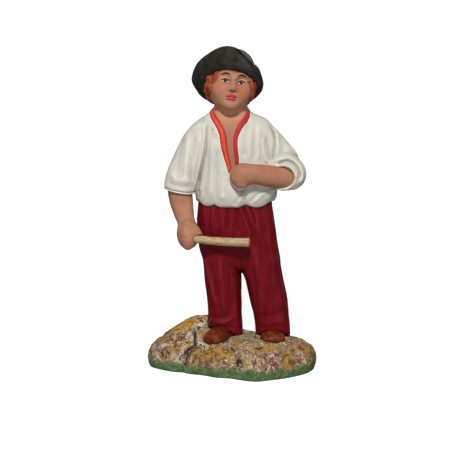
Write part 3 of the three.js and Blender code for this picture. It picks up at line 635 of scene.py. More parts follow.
# Heel, toe, and the shares of the width and height
SHOES = [((0.2, 1.4), (-7.2, -9.4), 1.0, 0.93), ((11.8, 2.6), (12.3, -9.0), 1.05, 0.68)]


def shoe(points, heel, toe, wider, taller):
    heel, toe = np.array(heel), np.array(toe)
    long = np.linalg.norm(toe - heel)
    way = (toe - heel) / long
    table = curve_through([(run, half * wider, tall * taller) for run, half, tall in SHOE])

    def field(p):
        off = p[:, :2] - heel
        run = off @ way / long
        aside = off @ np.array([-way[1], way[0]])
        half, tall = (np.interp(run, table[:, 0], table[:, k]) for k in (1, 2))
        up = p[:, 2] - SOLE_LINE
        rise = np.where(up > 0, up / (tall - SOLE_LINE), up / 0.9)
        share = np.sqrt((aside / half) ** 2 + rise**2)
        body = (share - 1) * np.minimum(half, tall)
        ends = np.maximum(-run, run - 1) * long
        return clipped(body, ends, 1.2)

    lowest = [*(np.minimum(heel, toe) - 4), -1]
    highest = [*(np.maximum(heel, toe) + 4), 5.5]
    return near_only(points, lowest, highest, field)


def shoes(points):
    right, left = (shoe(points, *row) for row in SHOES)
    return np.minimum(right, left) - 0.04 * mottle(points, 1.3, 2)


# Blouse

BLOUSE = [
    (41.3, 0.8, 0, 10.8, 7.4), (42.2, 0.95, 0, 11.85, 8.3), (44.5, 1.15, -0.1, 12.4, 8.9),
    (48, 0.85, -0.2, 12.1, 8.9), (52, 0.5, -0.1, 11.9, 8.6), (56, 0.2, 0, 11.9, 8.3),
    (60, 0, 0.2, 12.0, 8.0), (63, -0.1, 0.4, 11.8, 7.5), (65.5, -0.3, 0.6, 10.8, 6.9),
    (67.5, -0.5, 0.8, 8.7, 6.3), (69.2, -0.6, 1.0, 6.3, 5.5), (70.0, -0.65, 1.2, 5.4, 5.1),
]
BACK_FOLDS = folds_of([
    (20, 8, -0.35, 40, 60), (40, 8, 0.4, 40, 62), (60, 10, 0.5, 41, 66), (78, 8, -0.5, 41, 62),
    (100, 9, 0.5, 41, 64), (122, 8, -0.5, 41, 66), (142, 9, 0.45, 40, 62), (160, 8, -0.4, 40, 60),
    (90, 14, -0.5, 58, 70),
])
RIGHT_SLEEVE = [
    (45.2, -15.85, -1.6, 4.75, 4.85), (46.6, -15.8, -1.45, 5.0, 5.15), (48.6, -15.5, -1.25, 5.0, 5.3),
    (52, -14.4, -1.0, 5.15, 5.4), (56, -12.7, -0.6, 5.1, 5.5), (60, -10.9, -0.1, 5.1, 5.5),
    (63, -9.3, 0.3, 4.9, 5.3), (65.5, -7.7, 0.6, 4.3, 4.9), (67.2, -6.4, 0.8, 3.3, 4.1),
]
RIGHT_SLEEVE_FOLDS = folds_of([
    (205, 14, 0.3, 45, 58), (180, 10, -0.3, 45, 60), (150, 12, 0.3, 45, 60),
    (80, 14, 0.4, 45, 62), (118, 11, -0.35, 45, 60),
])


HEM_FADE = (43, 49)  # heights between which the hem's waves die out
SLEEVE_HEM, SLEEVE_X, SLEEVE_SLOPE = 45.8, -15.85, 0.155
AWAY = 4  # distances are painted on up to this


def sleeve_end(degrees):
    """The right sleeve's hem hangs lower towards the body."""
    return 0.6 - 0.77 * np.cos(np.radians(degrees))


def over_sleeve_end(points, way=None):
    """How far points lie over the right sleeve's hem, and far from it on the rest of the blouse."""
    over = points[:, 2] - SLEEVE_HEM + SLEEVE_SLOPE * (points[:, 0] - SLEEVE_X)
    return np.where((points[:, 0] < -11.0) & (over < AWAY), over, AWAY)


LEFT_SLEEVE = [
    (7.2, 0.6, 63.4, 4.9), (10.5, 0.2, 59.2, 5.4), (13.8, -0.5, 55.0, 5.6), (16.7, -1.4, 51.5, 5.1),
]
LEFT_SLEEVE_FOLDS = folds_of([(20, 16, 0.35, 0, 0.9), (50, 12, -0.3, 0, 0.9), (-20, 14, -0.3, 0, 0.9)])
LEFT_CUFF = [(17.5, -2.4, 50.8, 4.7), (15.3, -4.6, 50.8, 4.4)]
ELBOW_HOLLOW = [(15.1, -7.6, 50.9, 3.55), (7.0, -11.5, 52.4, 3.4)]  # where the forearm leaves the cuff
SLIT = [
    (-6.2, 70.5), (-5.3, 67.5), (-3.4, 63.5), (-2.5, 60.5), (-2.3, 57.5), (-1.6, 54.6), (-1.0, 53.4),
    (1.2, 54.2), (1.1, 56.5), (1.0, 60), (1.4, 63.2), (2.7, 65.6), (4.4, 68), (4.9, 70.5),
]
# Where across the picture the hem is drawn up, how far, and half the width
HEM_LIFTS = [(199, 0.7, 1.2), (214.5, 0.7, 1.4), (230, 0.35, 2.2), (245.5, 1.05, 1.7), (270, 0.85, 1.6)]
# Lines of the picture, width and depth of each fold
BLOUSE_FOLDS = [
    ([(205, 122), (204, 138), (202.5, 150), (200.5, 162), (198, 174), (196, 184), (195, 192)], 0.45, 0.45),
    ([(207, 122), (206.5, 140), (205.5, 152), (203, 164), (200.5, 176), (198.5, 190)], 0.6, -0.55),
    ([(209, 146), (208.5, 165), (206, 185), (203, 200)], 0.9, -0.3),
    ([(213, 138), (212, 160), (211.5, 180), (210, 200)], 0.9, 0.35),
    ([(217, 150), (217, 170), (216, 200)], 0.7, -0.35),
    ([(222, 168), (223, 182), (222, 202)], 1.1, 0.3),
    ([(213, 118), (214, 128), (217, 140)], 0.6, 0.25),
    ([(249, 120), (246, 133), (244.5, 145), (244, 160)], 0.6, -0.35),
    ([(251, 122), (250, 135), (249, 148), (249, 162)], 0.7, 0.3),
    ([(255.5, 124), (254.5, 140), (254, 162)], 0.6, -0.3),
    ([(259, 128), (259, 145), (258, 162)], 0.7, 0.3),
    ([(262.5, 138), (263, 150), (264.5, 158), (267, 165)], 0.4, 0.45),
    ([(266, 136), (267.5, 150), (270, 164)], 0.45, -0.45),
    ([(269.5, 125), (273, 133), (274.5, 143), (273, 153), (271.5, 163)], 0.5, -0.6),
    ([(274, 126), (277, 136), (277.5, 148), (275.5, 158)], 0.6, 0.35),
    ([(281, 138), (283, 148), (283, 155)], 0.7, -0.25),
    ([(275, 163), (281, 159.5), (288, 158.3), (295, 161.5), (300, 167), (302.3, 174), (301, 181),
      (297, 186)], 0.5, 0.4),
    ([(276, 165.5), (282, 162.5), (288, 161.7), (293.5, 164.5), (297.7, 169.5), (299.3, 175),
      (298, 181)], 0.42, -0.55),
    ([(280, 156), (287, 154), (295, 156), (300, 161)], 0.5, -0.35),
    ([(286, 147), (293, 149), (299, 156)], 0.8, 0.3),
    ([(284, 166), (290, 168), (294.5, 173), (296, 179)], 0.6, 0.3),
    ([(243.5, 190), (238, 198), (234, 206)], 0.5, -0.3),
    ([(247, 190), (242, 198), (238.5, 205)], 0.5, 0.24),
    ([(263.5, 190.5), (256, 196), (249.5, 203)], 0.4, -0.32),
    ([(268, 191), (260, 197), (254, 204)], 0.5, 0.22),
    ([(275.5, 190), (273.5, 196), (270.5, 202)], 0.5, -0.35),
    ([(229, 178), (232, 186), (238, 190.5), (246, 190)], 0.5, -0.35),
    ([(224, 194), (225, 199), (226, 206)], 1.0, 0.14),
    ([(217, 197), (215, 201), (214, 206)], 0.35, -0.25),
    ([(243, 198), (245, 201), (245.5, 205)], 0.35, -0.25),
    ([(203, 193), (205.5, 199), (207, 205)], 1.0, 0.14),
    ([(199, 190), (200, 194), (199, 198)], 0.35, -0.3),
    ([(184, 138), (179.5, 160), (177, 183)], 0.9, -0.3),
    ([(190, 130), (187, 155), (185.5, 185)], 1.0, 0.35),
    ([(195.5, 134), (192.5, 160), (190.5, 186)], 0.7, -0.35),
    ([(199, 130), (197, 150), (194, 176)], 0.8, 0.25),
    ([(170, 172), (176, 178), (186, 181), (193, 180)], 1.2, 0.35),
    ([(168, 183), (178, 186.5), (192, 187.5)], 0.7, -0.25),
]


def hem_wave(points):
    """How far the blouse's hem is drawn up, as seen from the front."""
    across = points[:, 0] / STEP + PICTURE_MIDDLE[0]
    lift = 0
    for at, rise, width in HEM_LIFTS:
        lift = lift + rise * np.exp(-((across - at) * STEP / width) ** 2)
    degrees = np.degrees(np.arctan2(points[:, 1], points[:, 0]))
    behind = 0.5 + 0.5 * np.cos(np.radians(9 * degrees - 70))
    front = smoothstep(-points[:, 1], -1, 3)
    return front * lift + (1 - front) * 0.8 * behind


def blouse_body(points):
    lifted = points.copy()
    fall = 1 - smoothstep(points[:, 2], *HEM_FADE)
    waved = points[:, 2] - fall * hem_wave(points)
    lifted[:, 2] = np.where(points[:, 2] < HEM_FADE[1], waved, points[:, 2])
    body = loft(lifted, BLOUSE, folds=BACK_FOLDS, rounded=1.0)
    sleeve = loft(points, RIGHT_SLEEVE, folds=RIGHT_SLEEVE_FOLDS, edge=sleeve_end, rounded=0.5)
    sleeve = sleeve + 0.2 * np.exp(-(((over_sleeve_end(points) - 0.7) / 0.28) ** 2))
    left_sleeve = limb(points, LEFT_SLEEVE, folds=LEFT_SLEEVE_FOLDS)
    return built(body, (sleeve, 0.9), (left_sleeve, 1.6), (limb(points, LEFT_CUFF), 0.9))


def blouse(points):
    body = blouse_body(points)
    facing = smoothstep(-points[:, 1], -0.5, 1.5)
    close = np.abs(body) < 2.5
    body[close] -= drawn_relief(points[close], BLOUSE_FOLDS, facing[close])
    body = body - 0.06 * mottle(points, 2.3, 1) - 0.03 * mottle(points, 0.9, 2)
    from_front = np.stack([points[:, 0], points[:, 2]], axis=1)
    slit = np.maximum(outline_distance(from_front, SLIT), points[:, 1])
    return built(body, (slit, -0.3), (limb(points, ELBOW_HOLLOW), -0.7))


TRIM_RAISED = 0.5
# Lines of the picture, and half the band's width
TRIM_RIGHT = [
    (212, 111.5, 0.65), (212.2, 114, 0.85), (213.5, 118, 0.95), (216.6, 123, 0.95), (220.6, 130, 1.0),
    (222.8, 137, 1.0), (223.7, 145, 0.95), (225, 152, 0.85), (227, 160, 0.75), (228.6, 166, 0.68),
    (229.6, 171, 0.62),
]
TRIM_LEFT = [
    (247.4, 111.5, 0.55), (247.9, 114, 0.75), (247.2, 117.5, 0.8), (244.6, 121.5, 0.75),
    (240.6, 126.5, 0.68), (237.4, 133, 0.62), (235.7, 141, 0.6), (235.9, 150, 0.62), (236.8, 158, 0.6),
    (237.2, 163, 0.55),
]


def trim_distance(points, rows):
    """Distance from the middle of a band as seen from the front, and half the band's width there."""
    rows = np.array(rows)
    line = smooth_line(from_picture(rows[:, :2]), 6)
    distance, share = along(seen(points), line)
    return distance, np.interp(share, np.linspace(0, 1, len(rows)), rows[:, 2])


def trim(points):
    body = blouse_body(points)
    result = np.full(len(points), 5.0)
    close = (np.abs(body) < 3) & (points[:, 1] < 1.5)
    p = points[close]
    for rows in (TRIM_RIGHT, TRIM_LEFT):
        distance, half = trim_distance(p, rows)
        band = clipped(distance - half, np.abs(body[close] + 0.2) - TRIM_RAISED - 0.2, 0.45)
        result[close] = np.minimum(result[close], band)
    turns = [(math.cos(math.radians(a)), math.sin(math.radians(a))) for a in range(-38, 219, 16)]
    collar = [(5.3 * right - 0.6, 5.1 * back + 1.2, 69.5 + 0.5 * back, 0.6) for right, back in turns]
    return blended(result, limb(points, collar, count=2), 0.3)


# Arms and hands

RIGHT_FOREARM = [
    (-16.1, -1.8, 48.0, 3.7), (-15.5, -2.2, 43.0, 3.6), (-14.65, -3.6, 39.2, 3.05),
    (-14.0, -4.7, 36.8, 2.65), (-13.6, -5.6, 34.4, 2.8),
]
LEFT_FOREARM = [
    (17.2, -3.0, 50.1, 3.6), (12.0, -6.2, 51.1, 3.35), (7.0, -9.2, 52.5, 3.1), (4.0, -10.2, 52.9, 3.0),
]
FIST = np.array([-13.2, -6.6, 32.3])
STICK_GRIP = np.array([-11.6, -8.3, 32.4])
STICK_LINE = np.array([17.2, -4.2, -0.1]) / np.linalg.norm([17.2, -4.2, -0.1])


def stick_way(points):
    """Distance from the stick's bent middle line, and how far along it each point lies."""
    run = (points - STICK_GRIP) @ STICK_LINE
    t = run / (STICK_LENGTH - STICK_HIDDEN)
    off = points - STICK_GRIP - run[:, None] * STICK_LINE
    off[:, 2] += 4 * STICK_SAG * t * (1 - t)
    return np.linalg.norm(off, axis=1), run


def right_hand(points):
    x, y, z = FIST
    fist = egg(points, (x, y, z + 0.4), (3.25, 3.3, 3.95), turned(y=8))
    thumb = [
        (x - 0.2, y - 1.2, z + 4.2, 1.5), (x + 2.0, y - 1.4, z + 2.7, 1.25),
        (x + 3.3, y - 1.2, z + 1.2, 0.95),
    ]
    knuckles = [
        (x - 1.0, y - 2.5, z + 1.9, 1.0), (x - 0.6, y - 2.7, z - 0.2, 1.0),
        (x - 0.3, y - 2.3, z - 2.2, 1.0),
    ]
    side = np.cross(STICK_LINE, [0, 0, 1])
    up = np.cross(side / np.linalg.norm(side), STICK_LINE)
    ring = [
        (*(STICK_GRIP - 1.15 * STICK_LINE + 1.6 * (math.cos(a) * side + math.sin(a) * up)), 0.95)
        for a in np.linspace(0, 2 * math.pi, 13)
    ]
    distance, run = stick_way(points)
    hole = np.maximum(distance - STICK_DIAMETER / 2 - 0.15, -STICK_HIDDEN - 0.2 - run)
    return built(
        limb(points, RIGHT_FOREARM), (fist, 2.2), (limb(points, thumb), 1.2),
        (limb(points, knuckles), 1.4), (limb(points, ring, count=2), 1.1), (hole, -0.15),
    )


def left_hand(points):
    palm = egg(points, (2.6, -10.6, 52.6), (3.3, 2.5, 3.25), turned(z=-12))
    hand = blended(limb(points, LEFT_FOREARM), palm, 1.8)
    for k in range(4):
        back = 0.28 * (k - 1.2) ** 2
        finger = [
            (3.2, -11.9, 54.4 - 1.5 * k, 0.95), (1.3 + back, -11.9, 54.1 - 1.4 * k, 0.95),
            (0.2 + back, -10.2, 53.8 - 1.3 * k, 0.85),
        ]
        hand = blended(hand, limb(points, finger), 1.0)
    return hand


# Lines of the picture, width and depth of the creases between the fingers and of the knuckles
FINGER_LINES = [
    ([(181.5, 237), (185, 238.5), (189, 238.5)], 0.4, -0.1),
    ([(182.5, 241.5), (186, 243), (190, 243)], 0.4, -0.1),
    ([(183, 227), (186.5, 232), (189, 236)], 0.8, 0.2),
    ([(231.5, 172), (234.5, 173), (238, 172.5)], 0.35, -0.07),
    ([(231.5, 177), (235, 178), (239, 177.5)], 0.35, -0.07),
    ([(241, 172), (244.5, 175), (247, 175)], 0.9, 0.16),
]


def arms(points):
    body = np.minimum(right_hand(points), left_hand(points))
    close = np.abs(body) < 1.5
    facing = smoothstep(-points[close][:, 1], 2, 4)
    body[close] -= drawn_relief(points[close], FINGER_LINES, facing)
    return body - 0.04 * mottle(points, 1.7, 0)


# Head, in millimetres from its middle, with the face towards -Y. It is then thrown back and leaned.

HEAD_MIDDLE = np.array([-0.6, -0.5, 78.0])
HEAD_TURN = turned(x=-20, y=8, z=5)
NECK = [(-0.5, 1.6, 63, 5.5), (-0.5, 1.2, 69, 5.0), (-0.6, 0.6, 74, 4.9)]
CHEST = [
    (50, 0.4, -1.2, 6.2, 6.2), (56, 0, -1.2, 6.2, 6.0), (60, -0.1, -1.0, 6.2, 5.9),
    (63, -0.2, -0.8, 6.2, 5.5), (65.5, -0.4, -0.4, 6.2, 5.2), (67.5, -0.5, 0.2, 6.0, 4.9),
    (70.0, -0.65, 0.9, 5.0, 4.4),
]
EYE = (2.45, -4.75, 0.35)
EYE_SIZE = 1.3


def face_local(points):
    """Places in the head's own frame, and the same with both halves folded onto its +X half."""
    q = (points - HEAD_MIDDLE) @ HEAD_TURN
    return q, np.column_stack([np.abs(q[:, 0]), q[:, 1:]])


def head(points):
    q, folded = face_local(points)
    brow = [(0.9, -6.1, 1.95, 0.5), (2.4, -5.75, 2.35, 0.55), (4.3, -4.5, 1.9, 0.45)]
    nose = built(
        limb(q, [(0, -6.1, 1.6, 0.55), (0, -6.75, 0, 0.75), (0, -7.35, -1.65, 1.0)]),
        (egg(folded, (0.95, -6.75, -1.95), (0.65, 0.8, 0.6)), 0.5),
    )
    upper_lid = [
        (1.15, -5.75, 0.2, 0.2), (1.9, -6.05, 0.95, 0.28), (2.75, -5.95, 1.05, 0.28),
        (3.75, -5.2, 0.3, 0.2),
    ]
    lower_lid = [(1.25, -5.75, 0.0, 0.15), (2.4, -6.0, -0.55, 0.2), (3.65, -5.25, 0.1, 0.15)]
    mouth = built(
        limb(folded, [(0, -6.45, -4.2, 0.3), (0.5, -6.55, -4.0, 0.36), (1.7, -5.85, -4.35, 0.14)]),
        (limb(folded, [(0, -6.35, -4.85, 0.46), (0.8, -6.15, -4.8, 0.36), (1.6, -5.8, -4.45, 0.12)]), 0.15),
    )
    parting = [(0, -6.95, -4.42, 0.12), (1.0, -6.6, -4.42, 0.12), (1.9, -5.9, -4.4, 0.1)]
    face = built(
        egg(q, (0, 0, 0.6), (6.3, 6.6, 7.1)),
        (egg(q, (0, -1.3, -2.4), (5.8, 5.4, 5.6)), 2.0),  # jaw
        (egg(folded, (3.0, -4.1, -2.4), (2.4, 2.1, 2.3)), 1.6),  # cheeks
        (egg(q, (0, -4.3, -6.0), (2.5, 2.1, 1.9)), 1.6),  # chin
        (limb(folded, brow), 1.3),
        (egg(folded, (2.4, -6.6, 0.55), (1.7, 1.25, 1.0)), -1.1),  # hollows for the eyes
        (nose, 1.0),
        (egg(folded, (0.5, -7.15, -2.75), (0.32, 0.4, 0.35)), -0.3),  # nostrils
        (egg(folded, EYE, (EYE_SIZE,) * 3), 0.25),
        (limb(folded, upper_lid), 0.3),
        (limb(folded, lower_lid), 0.35),
        (mouth, 0.5),
        (limb(folded, parting), -0.2),
        (limb(q, [(0, -6.75, -3.1, 0.18), (0, -6.75, -3.75, 0.2)]), -0.4),  # under the nose
        (limb(folded, [(0, -6.4, -5.55, 0.25), (1.2, -6.1, -5.4, 0.2)]), -0.7),  # under the lips
        (egg(folded, (6.1, 0.1, -0.9), (0.8, 1.3, 1.9)), 0.5),  # ears
        (built(limb(points, NECK), (loft(points, CHEST, power=3.2), 2.0)), 1.6),
    )
    return face - 0.03 * mottle(points, 1.5, 3)


# Hair: a wavy mass under the hat, with curls set on it

HAIRLINE = [(5.1, -4.1, 1.7), (5.7, -3.5, 0.6), (6.3, -2.7, -0.7), (6.2, -1.8, -2.3)]
SECOND_ROW = [(6.5, -1.1, 1.6), (6.9, -0.6, 0.2), (6.9, -0.1, -1.1), (6.5, 0.6, -2.2)]
NAPE = [
    (6.3, 1.6, -2.8), (5.0, 4.0, -4.0), (2.2, 6.0, -4.8),
    (-2.2, 6.0, -4.8), (-5.0, 4.0, -4.0), (-6.3, 1.6, -2.8),
]


def hair(points):
    q, folded = face_local(points)
    mass = built(
        limb(folded, [(x - 0.4, y + 0.3, z, 1.25) for x, y, z in HAIRLINE]),
        (limb(folded, [(x - 0.5, y, z, 1.35) for x, y, z in SECOND_ROW]), 0.8),
        (limb(q, [(x * 0.93, y * 0.93, z, 1.5) for x, y, z in NAPE]), 1.0),
        (egg(q, (0, 2.0, 0.0), (6.0, 5.2, 5.8)), 1.0),
    )
    wave = np.sin(2.3 * q[:, 2] + 1.4 * np.sin(0.9 * q[:, 0] + 1.3 * q[:, 1]) + 1.1 * mottle(q, 2.0, 1))
    return mass - 0.2 * wave - 0.06 * mottle(q, 0.9, 2)


# Hat: a lathed shell about its own axis, stretched front to back, worn on the back of the head

HAT_MIDDLE = np.array([-1.2, 3.0, 80.0])
HAT_TURN = turned(x=-57, y=17)
HAT_WIDE, HAT_LONG, BRIM_THICK = 10.9, 12.4, 1.5
CROWN_WIDE, CROWN_RISE, CROWN_SHIFT, BRIM_DROOP = 6.75, 7.7, 1.1, 0.16
HAT_REACH = 13
# Angle, width and the share by which the brim's reach changes there
BRIM_WAVES = [
    (-64, 23, -0.24), (-22, 16, -0.04), (28, 14, -0.03), (172, 18, -0.05), (-150, 26, -0.06),
    (-100, 14, -0.015),
]
BRIM = [
    (-0.3, -4.4), (0.6, -4.4), (0.72, -3.9), (0.87, -2.3), (0.97, -0.4), (1.0, 0.2), (0.985, 0.7),
    (0.93, 0.55), (0.82, -2.3 + BRIM_THICK), (0.7, -3.2 + BRIM_THICK), (-0.3, -3.2 + BRIM_THICK),
]
CROWN = [
    (-0.3, -4.2), (0.93, -4.2), (0.99, -2), (0.97, 1.5), (0.9, 0.6 * CROWN_RISE), (0.72, 0.86 * CROWN_RISE),
    (0.4, CROWN_RISE), (0.0, 0.97 * CROWN_RISE), (-0.3, 0.97 * CROWN_RISE),
]


# Lines of the picture and width of the painted highlight streaks on the hat
HAT_STREAKS = [
    ([(236, 56), (241, 60.5), (246, 66), (250, 71)], 0.35, 0.9),
    ([(240, 61), (244, 65), (247, 70)], 0.35, 0.4), ([(199, 66), (203, 61), (209, 56)], 0.4, 0.4),
    ([(256, 75), (259, 82), (260, 88)], 0.4, 0.3),
]
# Lines of the picture, width and strength of the painted shade line where the brim passes in front of the
# crown
HAT_SHADE_LINE = [([(234, 49.5), (240, 53.5), (245.5, 58.5), (250.5, 64), (254.5, 70.5)], 0.36, 1.0)]


def hat_streaks(points, way):
    return np.clip(drawn_relief(points, HAT_STREAKS, smoothstep(-way[:, 1], -0.1, 0.3)), 0, 1)


def hat_groove(points, way):
    """Painted shade: the dark line on the brim where the crown shows behind it."""
    low = 1 - smoothstep(((points - HAT_MIDDLE) @ HAT_TURN)[:, 2], 1.0, 1.6)
    return low * np.clip(drawn_relief(points, HAT_SHADE_LINE, smoothstep(-way[:, 1], -0.6, 0)), 0, 1)


def crown_share(points, way):
    """1 on the crown and on the rim that shows beyond the painted shade line, 0 on the brim."""
    q = (points - HAT_MIDDLE) @ HAT_TURN
    out = np.hypot((q[:, 0] - CROWN_SHIFT) / HAT_WIDE, q[:, 1] / HAT_LONG)
    crown = smoothstep(q[:, 2], 0.9, 1.5) * (out < 0.76)
    place, groove = seen(points), from_picture(HAT_SHADE_LINE[0][0])
    beyond = place[:, 1] - np.interp(place[:, 0], groove[:, 0], groove[:, 1], left=200, right=200)
    return np.maximum(crown, smoothstep(beyond, 0.1, 0.5))


def hat(points):
    def field(p):
        q = (p - HAT_MIDDLE) @ HAT_TURN
        x, y = q[:, 0] / HAT_WIDE, q[:, 1] / HAT_LONG
        out = np.maximum(np.hypot(x, y), 1e-6)
        out = out / (1 + BRIM_DROOP * (y / out) * (x / out) ** 2)
        degrees = np.degrees(np.arctan2(y, x))
        reach = 1 + sum(part * bump(degrees, at, width) for at, width, part in BRIM_WAVES)
        out = out / (1 + (reach - 1) * smoothstep(out, 0.6, 0.9))
        wide = (HAT_WIDE + HAT_LONG) / 2
        flat = [(r * wide, z) for r, z in BRIM]
        brim = outline_distance(np.stack([out * wide, q[:, 2]], axis=1), flat) - 0.12
        x, y = (q[:, 0] - CROWN_SHIFT) / CROWN_WIDE, q[:, 1] / (CROWN_WIDE * HAT_LONG / HAT_WIDE)
        wide = CROWN_WIDE * 1.07
        flat = smooth_line([(r * wide, z) for r, z in CROWN], 3)
        crown = outline_distance(np.stack([np.hypot(x, y) * wide, q[:, 2]], axis=1), flat) - 0.1
        crown = carved(crown, egg(q, (CROWN_SHIFT, 0, CROWN_RISE + 2.2), (3.2, 6.5, 3.0)), 1.5)
        return blended(brim, crown, 1.1) - 0.07 * mottle(q, 2.4, 1) - 0.03 * mottle(q, 1.1, 3)

    return near_only(points, HAT_MIDDLE - HAT_REACH, HAT_MIDDLE + HAT_REACH, field)


# The meshes

started = {}


def clay(name, field, lowest, highest, cell, borders=(), **extra):
    """A sculpted piece, with how hollow it is and how far the areas at its borders are painted on."""
    points, faces, way = sculpted(field, lowest, highest, cell)
    values = {
        "hollow": 0.5 * hollow(field, points, way, 0.5) + 0.5 * hollow(field, points, way, 1.2),
        **{f"to_{other.__name__}": np.clip(other(points), -1, AWAY) for other in borders},
        **{key: work(points, way) for key, work in extra.items()},
    }
    started[name] = meshed(name, points, faces, values)


def ridges_of(strokes, sign, facing_from):
    """How strongly each point lies on the ridges, or with sign -1 in the creases, of a cloth."""
    marks = [(line, width * 0.8, abs(deep) * 2.2) for line, width, deep in strokes if deep * sign > 0]
    return lambda points, way: np.clip(
        drawn_relief(points, marks, smoothstep(-points[:, 1], facing_from, facing_from + 2)), 0, 1.5
    )


def trim_edge(points, way):
    """Distance outside the trim's bands."""
    gap = np.minimum(*[np.subtract(*trim_distance(points, rows)) for rows in (TRIM_RIGHT, TRIM_LEFT)])
    return np.where(points[:, 1] < 0, gap, AWAY)


def middle_of_band(points, way):
    """0 in the middle of the trim's right hand band and 1 at its edges, over 1 on the other band."""
    distance, half = trim_distance(points, TRIM_RIGHT)
    return np.clip(distance / half, 0, 3)


clay("rock_base", rock, (-28, -21, -10.2), (27, 20, 6.5), 0.27, [shoes, trousers],
     crack=lambda points, way: cracked(points[:, 0], points[:, 1]), **{c: dabs_of(c) for c in DABS})
clay("shoe_pair", shoes, (-11.5, -14, -0.6), (16.5, 4, 5.6), 0.2, [rock, trousers])
clay("trousers", trousers, (-12.5, -11, -1.5), (19.5, 10, 46.8), 0.27, [blouse, shoes, rock],
     ridge=ridges_of(TROUSER_FOLDS, 1, 0.5), crease=ridges_of(TROUSER_FOLDS, -1, 0.5))
clay("blouse", blouse, (-22.5, -10.5, 39.5), (24.5, 9.5, 71.5), 0.25, [arms, trousers, head],
     ridge=ridges_of(BLOUSE_FOLDS, 1, -0.5), crease=ridges_of(BLOUSE_FOLDS, -1, -0.5), trim_gap=trim_edge,
     over_hem=over_sleeve_end)
clay("blouse_trim", trim, (-8, -10, 50), (7, 7.5, 72), 0.2, [blouse, head], band=middle_of_band)
clay("arms_and_hands", arms, (-20.5, -14, 27.5), (21.5, 2.5, 55.5), 0.2, [blouse, trousers])
clay("head_and_neck", head, (-8.5, -9.5, 48.5), (8, 8.5, 87.5), 0.16, [hat, hair, trim, blouse])
clay("hair_mass", hair, (-10.5, -7, 69), (9.5, 9.5, 87), 0.2, [hat, head])
clay("hat", hat, (-15, -9, 66), (13, 16, 92), 0.22, [hair, head], worn=hat_streaks,
     groove=hat_groove, crown=crown_share)


# Paint. A shade is a socket of a material's nodes, and sums on shades add Math nodes.

class Shade:
    """A value or colour somewhere in a paint's nodes."""

    def __init__(self, mixer, socket):
        self.mixer, self.socket = mixer, socket

    def math(self, operation, *others):
        return self.mixer.node("ShaderNodeMath", {"operation": operation}, dict(enumerate((self, *others))))

    def __add__(self, other):
        return self.math("ADD", other)

    __radd__ = __add__

    def __mul__(self, other):
        return self.math("MULTIPLY", other)

    __rmul__ = __mul__

    def __sub__(self, other):
        return self.math("SUBTRACT", other)

    def __rsub__(self, other):
        return self.mixer.node("ShaderNodeMath", {"operation": "SUBTRACT"}, {0: other, 1: self})

    def __truediv__(self, other):
        return self.math("DIVIDE", other)

    def __pow__(self, other):
        return self.math("POWER", other)

    def __abs__(self):
        return self.math("ABSOLUTE")

    def least(self, other):
        return self.math("MINIMUM", other)

    def most(self, other):
        return self.math("MAXIMUM", other)

    def between(self, start, end):
        """0 at start and below it, 1 at end and above it, and smooth in between."""
        return self.mixer.node(
            "ShaderNodeMapRange", {"interpolation_type": "SMOOTHSTEP", "clamp": True},
            {"Value": self, "From Min": start, "From Max": end},
        )


